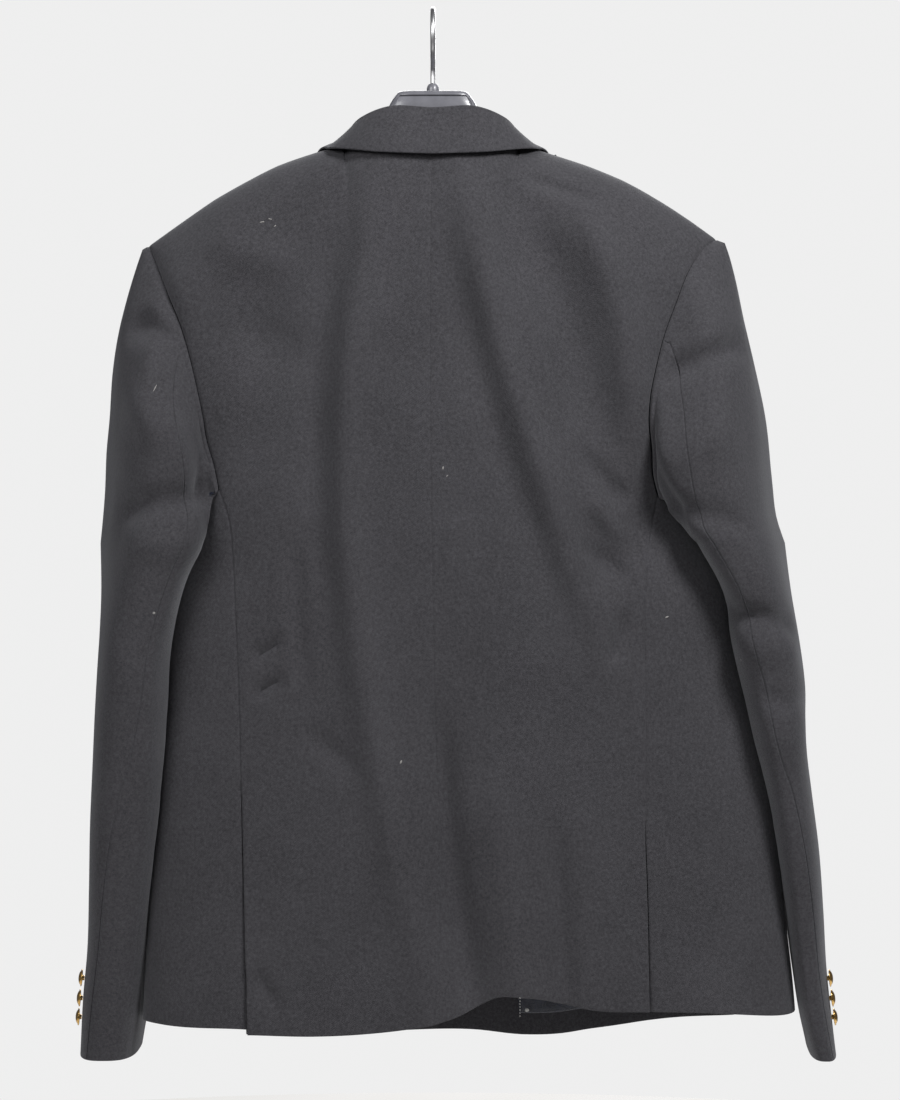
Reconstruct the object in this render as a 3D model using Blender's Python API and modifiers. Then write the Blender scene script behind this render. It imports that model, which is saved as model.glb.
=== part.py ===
"""A double-breasted wool jacket hanging on a plastic hanger, seen from its back at -Y.

Tables are in millimetres, with the inner top of the hanger's hook at the origin. +X is the wearer's
right, +Y the wearer's front, +Z up.
"""

import math

import bpy
import numpy as np
from mathutils import Vector

MM = 0.001
CLOTH = 1.6  # wall of the wool cloth
COLLAR_WALL = 2.0
LINING_WALL = 1.0
SEAM_GAP = 0.3
# Half of a seam's gap at the outer face, where two walls meet at an angle and their inner edges draw close.
SHOULDER_GAP = 0.8
CORNER_GAP = 0.35
SLEEVE_GAP = 0.8
LAY = CLOTH + SEAM_GAP  # from a cloth's outer face to the outer face of what lies against its inside
CHORD = 0.3  # room for the flat faces of two curved sheets that lie together
DENSE = 160  # points that a seam line is worked out at

# Grid lines of the pieces. Pieces that meet share them, so the same count serves both.
SIDE_ROWS = 13
ARM_BACK_ROWS = 11
ARM_FRONT_ROWS = 10
ARM_CROWD = 1.7  # how the rows crowd towards the shoulder's end
BACK_CROWD = 1.5
EASE = 5  # how fast a panel's correction at an edge fades away from it
EVEN_REACH = 0.16  # share of a panel's width that the correction at its top is evened out over
EVEN_EASE = 30  # how fast it evens out below the edge
FRONT_CROWD = 1.3
NECK_COLUMNS = 5
SHOULDER_COLUMNS = 8
SIDE_COLUMNS = 6
EDGE_ROWS = 9
NECK_ROWS = 3

# The garment's level rings, as it hangs: a rounded box with this exponent.
RING_POWER = 2.5
RING_Y = 8.0
RINGS = np.array([
    # height, centre x, half width, back y, front y
    (-860, 30.0, 267.0, -62, 62),
    (-792, 29.0, 263.5, -61, 66),
    (-719, 27.0, 257.5, -59, 73),
    (-638, 26.0, 251.0, -58, 80),
    (-557, 18.8, 239.2, -60, 86),
    (-517, 15.3, 233.8, -63, 90),
    (-476, 15.5, 227.5, -66, 94),
    (-444, 13.5, 217.0, -68, 95),
    (-411, 5.0, 205.0, -69, 95),
    (-380, 1.0, 200.0, -69, 93),
    (-350, 0.0, 200.0, -68, 90),
    (-300, 0.0, 205.0, -66, 82),
    (-256, 0.0, 213.0, -63, 74),
    (-212, 0.0, 226.0, -60, 66),
    (-189, 0.0, 232.0, -58, 62),
    (-150, 0.0, 236.0, -54, 56),
    (-100, 0.0, 238.0, -49, 50),
])

# The ridge over the shoulders, carried on over the neck hole so that the cloth rounds into it.
RIDGE_Y = 6.0
DOME_BACK = 75.0  # how far below the ridge the back has its full depth
DOME_FRONT = 95.0
SETTLED = (10, 60)  # below the ridge, where folds and the ring's own middle take over
RIDGE = np.array([
    # x, height
    (-230.5, -189.0), (-200, -167.5), (-175, -150.5), (-151, -137), (-124, -123.5), (-90, -112),
    (-72, -107), (-60, -101), (-40, -90), (0, -82), (40, -90), (60, -101), (72, -107), (92, -113.5),
    (125.6, -124.5), (151.5, -135), (182.7, -152), (205.4, -166.5), (229.5, -183.5),
])

# Soft folds, each along a curve through three points: out from the cloth, or in where negative.
FOLD_STEPS = 8  # straight runs that each curve is followed by
FOLD_END = 0.35  # share of its length over which a fold grows from each end
BACK_FOLDS = np.array([
    # top x, z, middle x, z, bottom x, z, half width, height
    (12, -128, 72, -317, 160, -470, 15, 7.5),
    (6, -170, 54, -330, 124, -492, 13, -6.5),
    (52, -135, 104, -262, 152, -400, 22, -7.0),
    (70, -205, 80, -270, 100, -350, 7, 2.5),
    (106, -140, 146, -256, 162, -368, 15, 5.0),
    (58, -128, 100, -147, 150, -160, 6, -8.0),
    (-36, -120, -62, -391, -12, -740, 14, 6.5),
    (-68, -122, -82, -320, -74, -510, 17, -6.5),
    (-108, -410, -107, -480, -99, -570, 8, -3.0),
    (-104, -575, -80, -596, -50, -620, 8, -2.5),
    (2, -560, 12, -664, 44, -800, 13, -6.0),
    (50, -600, 60, -710, 74, -830, 14, 4.5),
    (98, -640, 101, -700, 106, -790, 10, -4.5),
    (-170, -246, -126, -272, -84, -296, 22, -4.5),
    (-196, -178, -150, -196, -96, -222, 18, 4.5),
    (-146, -524, -132, -516, -112, -504, 5, -3.5),
    (-146, -554, -130, -545, -112, -534, 5, -3.5),
    (-142, -764, -134, -784, -112, -806, 7, -3.0),
    (160, -402, 140, -384, 108, -348, 8, -4.5),
    (158, -436, 140, -414, 116, -384, 8, 3.5),
    (158, -462, 140, -448, 112, -430, 7, -4.0),
    (154, -478, 148, -505, 136, -534, 6, -3.0),
    (32, -410, 20, -418, 4, -428, 7, 1.5),
])
FRONT_FOLDS = np.array([
    (-150, -200, -146, -330, -120, -480, 22, -5.5),
    (-112, -240, -112, -370, -92, -520, 16, 4.5),
    (-150, -540, -140, -660, -130, -800, 26, 5.0),
    (-60, -600, -56, -700, -62, -810, 22, -4.0),
    (150, -200, 150, -330, 150, -480, 22, -5.5),
    (112, -240, 126, -400, 150, -580, 16, 4.5),
    (170, -580, 176, -700, 180, -810, 24, 5.0),
])

# Centre-back seam and the hem of the back, lifted right of the centre.
CENTRE_BACK = np.array([(0.4, -811.2), (7, -700), (3, -600), (-1, -400), (-2, -250), (-1, -111)])  # x, height
HEM_BACK_LEFT = np.array([(0.4, -811.2), (-19, -814.5), (-57, -818.8), (-93.5, -820.8), (-147.2, -820.4)])
HEM_BACK_RIGHT = np.array([
    (0.4, -811.2), (27.2, -801.9), (39, -795.6), (50, -789.6), (71, -788.9), (86.4, -790.9),
    (108.5, -796.4), (131.4, -800.3), (172.6, -801.6),
])

# Seams between the back and the side pieces, from the hem to the underarm: x, height.
SIDE_BACK = {
    -1: np.array([(-147.2, -820.4), (-148, -792.7), (-150.4, -713.4), (-152.7, -634), (-154.3, -554.8),
                  (-156.7, -491.3), (-159.1, -443.7), (-162.2, -412), (-170.2, -388.2)]),
    1: np.array([(172.6, -801.6), (172.4, -792.7), (171.1, -713.4), (169.2, -646), (169.4, -586.5),
                 (169, -537), (168.4, -473), (171, -443.7), (180.1, -393)]),
}
# Armholes from the top of that seam up the back to the shoulder's end: x, height.
ARMHOLE_BACK = {
    -1: np.array([(-170.2, -388.2), (-174.3, -368.1), (-180.1, -348.8), (-183, -330.4), (-187.7, -307.9),
                  (-194.2, -280.6), (-201.1, -257.8), (-212.1, -231.6), (-220.9, -210.8), (-230.5, -189)]),
    1: np.array([(180.1, -393), (175.6, -376.4), (174.7, -358), (172.1, -332.4), (173.2, -315.7),
                 (178.9, -287.8), (184.7, -265.7), (194.3, -239.5), (206.1, -210.9), (221.6, -189.6),
                 (229.5, -183.5)]),
}
# Armholes down the front, from the shoulder's end to the side piece: distance from the centre, height.
ARMHOLE_FRONT = np.array([
    (230, -186), (220, -197), (203, -215), (188, -240), (177, -270), (171, -300), (169, -330), (170, -360),
    (175, -388),
])
UNDERARM = np.array([(0, -402), (34, -399)])  # y, height
SIDE_FRONT = np.array([(48, -820), (54, -690), (60, -560), (64, -450), (63, -388)])  # y, height
SIDE_HEM = {-1: (-820.4, -816.6, -816.5, -819.0), 1: (-801.6, -808.4, -809.0, -812.0)}

# Fronts: the wearer's left, at -X, laps over the right.
FRONT_LAP = 75.0  # each front's edge past the centre
UNDER_FRONT = 8.0  # how far the right front lies behind the left where they lap, lapel and all
UNDER_ACROSS = (105, 150)  # from the centre out, where that ends
UNDER_DOWN = (200, 280)  # below the origin, where it starts
BREAK_HEIGHT = -520.0
NECK_SIDE = np.array([(72, 6, -107), (70.5, 24, -112.5), (66, 36, -123), (60, 45, -137)])
HEM_FRONT = {
    -1: np.array([(105, -836), (40, -834), (-30, -830), (-100, -826), (-160, -822)]),
    1: np.array([(-45, -834), (35, -833), (74, -837), (106, -836), (130, -832), (162, -828), (200, -823)]),
}

# Lapels and collar: distance from the centre, height.
GORGE_START = np.array((60.0, -137.0))
NOTCH = np.array((97.0, -156.0))
COLLAR_CORNER = np.array((108.0, -137.0))
PEAK = np.array((140.0, -153.0))
LAPEL_EDGE = np.array([(0.0, 9.0), (0.25, 39.0), (0.5, 61.0), (0.75, 76.0), (1.0, 81.2)])  # share, width
FOLD_RADIUS = 2.2
LAPEL_LIFT = 2.8
COLLAR_FOLD = 2.6
COLLAR_SEAM = SEAM_GAP + 0.2  # from the neck's edge to the collar's
NECK_POINT = 71.0  # just inside the shoulder seam's inner end
COLLAR_ROWS = np.array([
    # seam x, y, z, the stand's direction x, y, z, its height, edge x, y, z
    (0, -50, -110.7, 0, 0.1, 0.99, 24.6, 0, -60, -122),
    (36, -46, -110.3, -0.08, 0.12, 0.99, 25.5, 44, -57, -120),
    (60, -26, -108.3, -0.22, 0.05, 0.97, 17, 75, -34, -114.5),
    (71.7, 6, -106.7, -0.45, 0, 0.89, 7.5, 92, 6, -112),
    (70.5, 24, -112.2, -0.75, -0.1, 0.65, 4.5, 99, 25, -117),
    (66, 36, -122.7, -0.92, -0.2, 0.34, 2.2, 105, 35, -127),
    (60, 45, -136.7, -0.93, -0.15, 0.34, 0.8, 108, 42, -137),
])
COLLAR_FALL = (0.22, 0.44, 0.66, 1.0)  # shares of the way from the fold to the edge, the third at the notch
FOLD_ANGLES = (-90, -30, 30, 90)
LAPEL_COLUMNS = (0.25, 0.5, 0.75, 1.0)
COLLAR_LIFT = 3.8
COLLAR_MORE = 1.2  # more lift over the shoulder
COLLAR_TAPER = 2.2  # and less again at the edge
COLLAR_FRONT = 99.0  # from here out the collar's edge lies on the front

# Sleeves, below the rounding out of the armhole.
SLEEVES = {
    -1: np.array([
        # height, outer x, inner x, back y, front y, how far the back lies inwards
        (-847, 288.5, 242, -17, 106, 0),
        (-800, 286, 234, -20, 104, 0),
        (-760, 282, 229.5, -26, 102, 0),
        (-710, 280, 225, -34, 101, 0),
        (-660, 278.6, 219, -42, 101, 0),
        (-610, 277, 215.5, -48, 100, 2),
        (-560, 275.7, 213, -54, 98, 5),
        (-510, 273.8, 211, -60, 94, 9),
        (-470, 272, 203, -66, 90, 15),
        (-430, 271.5, 188, -70, 84, 20),
    ]),
    1: np.array([
        (-847, 331.5, 308, -20, 110, 4),
        (-815, 329, 300, -22, 109, 6),
        (-780, 325.5, 294, -26, 107, 7),
        (-730, 322, 287, -32, 105, 7),
        (-680, 317, 279, -40, 103, 6),
        (-630, 309.5, 269.5, -46, 101, 5),
        (-590, 304.3, 259, -50, 99, 5),
        (-545, 304, 249, -55, 97, 6),
        (-510, 300, 241, -59, 93, 8),
        (-470, 293.5, 235, -66, 90, 12),
        (-430, 287.5, 214, -70, 84, 18),
    ]),
}
SLEEVE_POWER = 2.2
SLEEVE_HEAD = {
    # the outline above those rows: height, distance from the centre
    -1: np.array([(-387, 270.3), (-355, 267.9), (-330, 264.6), (-289, 260.6), (-262, 256.1), (-232, 248.3),
                  (-203, 239.6), (-190, 235.2)]),
    1: np.array([(-411, 284.1), (-379, 279.2), (-330, 272.6), (-284, 261.6), (-248, 252.6), (-215, 245.2),
                 (-196, 240.2), (-184, 236)]),
}
HEAD_REACH = 4.0  # least way out from the armhole of a point that the outline is measured at
SLEEVE_CLEAR = 2.5  # from the body
CAP_ROWS = 7
SLEEVE_ROWS = 13
SEAM_TURN = 3.0  # how far the sleeve runs on from the body before it turns down
HIND_COLUMN = 7  # the grid line round the armhole that the seam at the sleeve's back starts from
FORE_COLUMN = 20
HIND_SEAM = np.array([(-847, 0.17), (-760, 0.19), (-560, 0.27), (-430, 0.29)])  # height, share of the round
FORE_SEAM = 0.68
SLEEVE_FOLDS = {
    # share of round, height, share of round, height, half width, out
    -1: np.array([(0.1, -258, 0.28, -272, 9, -4.5), (0.12, -330, 0.24, -362, 22, 5.0),
                  (0.1, -402, 0.36, -388, 12, -4.8), (0.16, -428, 0.4, -434, 14, 3.0),
                  (0.14, -520, 0.3, -540, 26, 2.5)]),
    1: np.array([(0.06, -272, 0.32, -306, 9, -5.0), (0.16, -345, 0.32, -372, 22, 5.0),
                 (0.2, -412, 0.4, -400, 10, -3.0), (0.12, -494, 0.42, -484, 10, -5.0),
                 (0.14, -522, 0.36, -516, 14, 4.0), (0.1, -586, 0.3, -580, 22, 2.5)]),
}

# Vents, lining, buttons.
VENT_TOP = {-1: -606.0, 1: -636.0}
VENT_STEP = {-1: 4.0, 1: 0.0}  # how far the side piece ends above the back at the vent
VENT_COLUMNS = 2
LINING_EDGE = 72.0
LINING_HEM = 16.0
CUFF_BUTTON = 14.0
CUFF_BUTTON_SHARE = 0.075  # of the way round the sleeve
BUTTON_STEPS = 12
BUTTON_GAP = 0.5
CUFF_BUTTON_HEIGHTS = (-783.0, -799.5, -815.0)
FRONT_BUTTON = 20.0
FRONT_BUTTONS = ((-1, 1, 58, -636), (-1, 2, 58, -540), (-1, 3, 84, -444),
                 (1, 1, 58, -636), (1, 2, 58, -540), (1, 3, 84, -444))  # side, row, distance, height
BUTTON_PROFILE = np.array([(0, 0.34), (0.62, 0.29), (1, 0.155), (0.3, 0.1), (0.3, 0.0), (0, 0.0)])

# Hanger.
HOOK_WIRE = 2.0  # radius
HOOK_RADIUS = 20.0
HOOK_FOOT = -57.8
FERRULE = np.array([(0, -58.2), (3.4, -58.6), (5, -61), (5.2, -64.9), (0, -64.9)])  # radius, height
NECK_TOP = -65.4
NECK_BLOCK = np.array([(-118, 40, 15), (-88, 38, 16), (-75, 34.5, 15.5), (NECK_TOP, 28, 13)])  # z, half x, y
ARM_CLEAR = 0.45
ARM_SIDE_CLEAR = 0.9
ARMS = np.array([
    # x, half depth, height
    (-212, 9, 9), (-205, 14, 14), (-185, 18, 19), (-150, 18, 21), (-110, 16, 22), (-78, 14, 22), (-55, 13, 24),
    (-30, 12, 25), (0, 12, 25), (30, 12, 25), (55, 13, 24), (78, 14, 22), (110, 16, 22), (150, 18, 21),
    (185, 18, 19), (204, 14, 14), (211, 9, 9),
])
ARM_NECK_TOP = -108.0

WOOL = ((0.042, 0.043, 0.046), 0.9, 0.0)
LINING = ((0.012, 0.015, 0.03), 0.35, 0.0)
GOLD = ((0.78, 0.5, 0.16), 0.28, 1.0)
PLASTIC = ((0.02, 0.022, 0.026), 0.22, 0.0)
STEEL = ((0.6, 0.6, 0.6), 0.3, 1.0)


def smooth(keys, values, at):
    """A smooth curve through a table's rows, read at the places given."""
    keys = np.asarray(keys, float)
    values = np.asarray(values, float)
    slopes = np.gradient(values, keys, axis=0)
    at = np.clip(np.asarray(at, float), keys[0], keys[-1])
    i = np.clip(np.searchsorted(keys, at) - 1, 0, len(keys) - 2)
    span = keys[i + 1] - keys[i]
    s = (at - keys[i]) / span
    if values.ndim > 1:
        s = s[..., None]
        span = span[..., None]
    start = (1 + 2 * s) * (1 - s) ** 2 * values[i] + s * (1 - s) ** 2 * span * slopes[i]
    return start + s * s * (3 - 2 * s) * values[i + 1] - s * s * (1 - s) * span * slopes[i + 1]


def ramp(value, low, high):
    """From 0 at low to 1 at high, with soft ends."""
    s = np.clip((value - low) / (high - low), 0, 1)
    return s * s * (3 - 2 * s)


def unit(vectors):
    return vectors / np.maximum(np.linalg.norm(vectors, axis=-1, keepdims=True), 1e-9)


def along(points, shares):
    """The points at these shares of a line's length."""
    steps = np.linalg.norm(np.diff(points[:, :3], axis=0), axis=1)
    keys = np.concatenate([[0], np.cumsum(steps)]) / steps.sum()
    columns = [np.interp(shares, keys, points[:, k]) for k in range(points.shape[1])]
    return np.stack(columns, axis=-1)


def dense(points, count=DENSE):
    """Even steps along a smooth line through the points."""
    points = np.asarray(points, float)
    steps = np.linalg.norm(np.diff(points, axis=0), axis=1)
    keys = np.concatenate([[0], np.cumsum(steps)])
    fine = smooth(keys, points, np.linspace(0, keys[-1], 4 * count))
    return along(fine, np.linspace(0, 1, count))


def ring_at(z):
    """Centre x, half width, back depth and front depth of the garment at a height."""
    rows = smooth(RINGS[:, 0], RINGS[:, 1:], z)
    return rows[..., 0], rows[..., 1], RING_Y - rows[..., 2], rows[..., 3] - RING_Y


def ridge_height(x):
    return smooth(RIDGE[:, 0], RIDGE[:, 1], x)


def rounded(share):
    """How far a ring reaches across, at this share of its other half side."""
    return (1 - np.clip(np.abs(share), 0, 0.9999) ** RING_POWER) ** (1 / RING_POWER)


def dome(x, z, drop):
    s = np.clip((ridge_height(x) - z) / drop, 0, 1)
    return np.sqrt(1 - (1 - s) ** 2)


def folds(table, x, z):
    """The height of the soft folds over a panel's plain form."""
    places = np.stack(np.broadcast_arrays(x, z), axis=-1).astype(float)[..., None, :]
    total = np.zeros(places.shape[:-2])
    for x1, z1, x2, z2, x3, z3, width, height in table:
        line = smooth((0, 0.5, 1), ((x1, z1), (x2, z2), (x3, z3)), np.linspace(0, 1, FOLD_STEPS + 1))
        runs = np.diff(line, axis=0)
        reach = places - line[:-1]
        share = np.clip((reach * runs).sum(axis=-1) / (runs * runs).sum(axis=-1), 0, 1)
        gaps = ((reach - share[..., None] * runs) ** 2).sum(axis=-1)
        nearest = gaps.argmin(axis=-1)[..., None]
        gap = np.take_along_axis(gaps, nearest, axis=-1)[..., 0]
        place = (nearest + np.take_along_axis(share, nearest, axis=-1))[..., 0] / FOLD_STEPS
        ends = ramp(place, 0, FOLD_END) * (1 - ramp(place, 1 - FOLD_END, 1))
        total += height * ends * np.exp(-gap / width**2)
    return total


def back_y(x, z):
    centre, half, back, _ = ring_at(z)
    settle = ramp(ridge_height(x) - z, *SETTLED)
    depth = back * rounded((x - centre) / half) * dome(x, z, DOME_BACK)
    middle = RIDGE_Y + (RING_Y - RIDGE_Y) * settle
    return middle - depth - folds(BACK_FOLDS, x, z) * settle


def front_y(x, z, side=-1):
    centre, half, _, front = ring_at(z)
    settle = ramp(ridge_height(x) - z, *SETTLED)
    depth = front * rounded((x - centre) / half) * dome(x, z, DOME_FRONT)
    middle = RIDGE_Y + (RING_Y - RIDGE_Y) * settle
    y = middle + depth + folds(FRONT_FOLDS, x, z) * settle
    if side > 0:
        y = y - UNDER_FRONT * (1 - ramp(np.abs(x - centre), *UNDER_ACROSS)) * ramp(-z, *UNDER_DOWN)
    return y


def front_of(side):
    """The surface of one front."""
    return lambda x, z: front_y(x, z, side)


def side_x(y, z, side):
    centre, half, back, front = ring_at(z)
    share = (y - RING_Y) / np.where(y < RING_Y, back, front)
    return centre + side * half * rounded(share)


def normals_of(surface, x, z):
    """The unit normals, facing out, of a cloth whose y is a function of x and z."""
    step = 0.5
    y = surface(x, z)
    slope_x = (surface(x + step, z) - surface(x - step, z)) / (2 * step)
    slope_z = (surface(x, z + step) - surface(x, z - step)) / (2 * step)
    away = np.where(np.mean(y) > RING_Y, 1.0, -1.0)
    return unit(np.stack([-slope_x * away, np.full_like(slope_x, away), -slope_z * away], axis=-1))


def lifted(surface, x, z, lift):
    """Points on a cloth, moved out from its outer face, or in where lift is negative."""
    x = np.asarray(x, float)
    z = np.asarray(z, float)
    points = np.stack([x, surface(x, z), z], axis=-1)
    return points + normals_of(surface, x, z) * np.asarray(lift)[..., None]


def laid(plan, surface):
    """A line drawn by its x and height, laid on a cloth. The last column holds no offset."""
    fine = dense(plan)
    points = np.stack([fine[:, 0], surface(fine[:, 0], fine[:, 1]), fine[:, 1]], axis=1)
    return along(points, np.linspace(0, 1, DENSE))


def laid_side(plan, side):
    """A line drawn by its y and height, laid on the garment's side."""
    fine = dense(plan)
    points = np.stack([side_x(fine[:, 0], fine[:, 1], side), fine[:, 0], fine[:, 1]], axis=1)
    return along(points, np.linspace(0, 1, DENSE))


def nodes(*runs):
    """The points where grid lines meet an edge, from runs: a line, its steps and their crowding to its end."""
    found = []
    for line, steps, crowd in runs:
        share = np.linspace(0, 1, steps + 1)
        share = 1 - (1 - share) ** crowd if crowd >= 1 else share ** (1 / crowd)
        found.append(along(line, share))
    return np.concatenate([found[0]] + [run[1:] for run in found[1:]])


def shares_of(first, second):
    """How far along each grid line lies, as the mean of two opposite edges."""
    both = 0
    for edge in (first, second):
        steps = np.linalg.norm(np.diff(edge, axis=0), axis=1)
        both = both + np.concatenate([[0], np.cumsum(steps)]) / steps.sum() / 2
    return both


def filled(bottom, top, inner, outer):
    """A patch between four edges, with its rows from bottom to top and its columns from inner to outer."""
    u = shares_of(bottom, top)[None, :, None]
    v = shares_of(inner, outer)[:, None, None]
    corners = (1 - u) * ((1 - v) * bottom[0] + v * top[0]) + u * ((1 - v) * bottom[-1] + v * top[-1])
    ruled = (1 - v) * bottom[None] + v * top[None] + (1 - u) * inner[:, None] + u * outer[:, None]
    return ruled - corners


def cloth_grid(edges, surface, across=0):
    """A panel whose depth is a surface's, corrected near its four edges to pass through them.

    across is the axis that the surface is read along with the height: 0 for a back or front, 1 for a side.
    """
    depth = 1 - across
    grid = filled(*edges)
    grid[..., depth] = surface(grid[..., across], grid[..., 2])
    bottom, top, inner, outer = (edge[:, depth] - surface(edge[:, across], edge[:, 2]) for edge in edges)
    u = shares_of(*edges[:2])[None, :]
    v = shares_of(*edges[2:])[:, None]
    low, high, near, far = (1 - v) ** EASE, v ** EASE, (1 - u) ** EASE, u ** EASE
    weights = np.exp(-(((u - u.T) / EVEN_REACH) ** 2))
    even = weights @ top / weights.sum(axis=1)
    top = even + (top - even) * v**EVEN_EASE
    off = low * bottom + high * top + near * inner[:, None] + far * outer[:, None]
    off -= near * (low * bottom[0] + high * top[:, :1]) + far * (low * bottom[-1] + high * top[:, -1:])
    grid[..., depth] += off
    return grid


def drawn_in(grid, bottom=0.0, top=0.0, inner=0.0, outer=0.0):
    """The grid with each edge moved in by its half of a seam's gap."""
    made = grid.copy()
    made[0] += bottom * unit(grid[1] - grid[0])
    made[-1] += top * unit(grid[-2] - grid[-1])
    made[:, 0] += inner * unit(grid[:, 1] - grid[:, 0])
    made[:, -1] += outer * unit(grid[:, -2] - grid[:, -1])
    return made


def material(name, look):
    colour, roughness, metallic = look
    made = bpy.data.materials.new(name)
    made.use_nodes = True
    shader = made.node_tree.nodes["Principled BSDF"]
    shader.inputs["Base Color"].default_value = (*colour, 1)
    shader.inputs["Roughness"].default_value = roughness
    shader.inputs["Metallic"].default_value = metallic
    made.diffuse_color = (*colour, 1)
    return made


def placed(obj, name, look):
    """Names an object, gives it its material and puts it in the jacket's collection."""
    obj.name = name
    obj.data.name = name
    obj.data.materials.clear()
    obj.data.materials.append(material(name, look))
    for collection in list(obj.users_collection):
        collection.objects.unlink(obj)
    bpy.data.collections["reefer_jacket"].objects.link(obj)
    if obj.type == "MESH":
        obj.data.shade_smooth()
    return obj


def wall_of(name, points, wall, look, turned=False):
    """A sheet: a flat grid moved to the points of a shape, then given its wall on the inside."""
    rows, columns = points.shape[0] - 1, points.shape[1] - 1
    bpy.ops.mesh.primitive_grid_add(x_subdivisions=columns, y_subdivisions=rows, size=2)
    obj = bpy.context.object
    mesh = obj.data
    flat = np.empty(len(mesh.vertices) * 3)
    mesh.vertices.foreach_get("co", flat)
    flat = flat.reshape(-1, 3)
    column = np.rint((flat[:, 0] + 1) / 2 * columns).astype(int)
    row = np.rint((flat[:, 1] + 1) / 2 * rows).astype(int)
    mesh.vertices.foreach_set("co", (points[row, column] * MM).ravel())
    if turned:
        mesh.flip_normals()
    mesh.update()
    solidify = obj.modifiers.new("Wall", "SOLIDIFY")
    solidify.thickness = wall * MM
    solidify.offset = -1
    return placed(obj, name, look)


def turned_piece(name, profile, steps, look):
    """A turned solid about its own Z, from a profile of radius and height that runs from the top down."""
    mesh = bpy.data.meshes.new(name)
    points = [(radius * MM, 0, height * MM) for radius, height in profile]
    mesh.from_pydata(points, [(i, i + 1) for i in range(len(points) - 1)], [])
    obj = bpy.data.objects.new(name, mesh)
    bpy.context.scene.collection.objects.link(obj)
    screw = obj.modifiers.new("Turn", "SCREW")
    screw.steps = steps
    screw.render_steps = steps
    screw.use_merge_vertices = True
    screw.merge_threshold = 1e-6
    return placed(obj, name, look)


def ended_at(line, point, share, last=True):
    """A line eased over the share of its length next to one end, so that it ends at a point."""
    place = np.linspace(0, 1, len(line))
    weight = ramp(place, 1 - share, 1) if last else 1 - ramp(place, 0, share)
    off = point - (line[-1] if last else line[0])
    return line + off * weight[:, None]


def seams_of(side):
    """Every line that the pieces of one side share, from low to high or from the centre out."""
    mirror = np.array((side, 1, 1))
    front_cloth = front_of(side)
    side_back = laid(SIDE_BACK[side], back_y)
    side_front = laid_side(SIDE_FRONT, side)
    tip = np.array((RIDGE[0, 0], RIDGE_Y, RIDGE[0, 1]) if side < 0 else (RIDGE[-1, 0], RIDGE_Y, RIDGE[-1, 1]))
    arm_back = ended_at(laid(ARMHOLE_BACK[side], back_y), tip, 0.1)
    plan = (ARMHOLE_FRONT[::-1] * np.array((side, 1))).astype(float)
    plan[0] = side_front[-1, [0, 2]]
    plan[-1] = tip[[0, 2]]
    arm_front = ended_at(laid(plan, front_cloth), side_front[-1], 0.2, last=False)
    arm_front = ended_at(arm_front, tip, 0.12)
    under_plan = np.vstack([(side_back[-1, 1:]), UNDERARM, (side_front[-1, 1:])])
    underarm = ended_at(laid_side(under_plan, side), side_back[-1], 0.3, last=False)
    shoulder = RIDGE[RIDGE[:, 0] * side > NECK_POINT][::side]
    shoulder = dense(np.column_stack([shoulder[:, 0], np.full(len(shoulder), RIDGE_Y), shoulder[:, 1]]))
    hem_front = laid(np.vstack([HEM_FRONT[side], side_front[0, [0, 2]]]), front_cloth)
    hem_front = ended_at(hem_front, side_front[0], 0.2)
    hem_plan = np.column_stack([(side_back[0, 1], -30, 10, side_front[0, 1]), SIDE_HEM[side]])
    hem_side = ended_at(laid_side(hem_plan, side), side_back[0], 0.3, last=False)
    hem_side = ended_at(hem_side, side_front[0], 0.2)
    break_point = np.array((ring_at(np.array(BREAK_HEIGHT))[0] - side * FRONT_LAP, BREAK_HEIGHT))
    edge_x = (HEM_FRONT[side][0, 0] + break_point[0]) / 2
    front_edge = laid(np.array([HEM_FRONT[side][0], (edge_x, -680), break_point]), front_cloth)
    roll = laid(np.array([break_point, GORGE_START * np.array((side, 1))]), front_cloth)
    neck_side = ended_at(dense(NECK_SIDE[::-1] * mirror), roll[-1], 0.8, last=False)
    neck_back = dense((COLLAR_ROWS[:4, :3] + np.array((0, 0, -SEAM_GAP))) * mirror)
    neck_back = ended_at(neck_back, shoulder[0], 0.3)
    hem_back = laid(HEM_BACK_LEFT if side < 0 else HEM_BACK_RIGHT, back_y)
    centre = laid(CENTRE_BACK, back_y)
    neck_back = ended_at(neck_back, (centre[-1] + neck_back[0]) / 2 * np.array((0, 1, 1)), 0.6, last=False)
    centre = ended_at(centre, neck_back[0], 0.05)
    return {
        "side_back": side_back, "arm_back": arm_back, "side_front": side_front, "arm_front": arm_front,
        "underarm": underarm, "shoulder": shoulder, "hem_front": hem_front, "hem_side": hem_side,
        "front_edge": front_edge, "roll": roll, "neck_side": neck_side, "neck_back": neck_back,
        "hem_back": hem_back, "centre": centre,
    }


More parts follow.
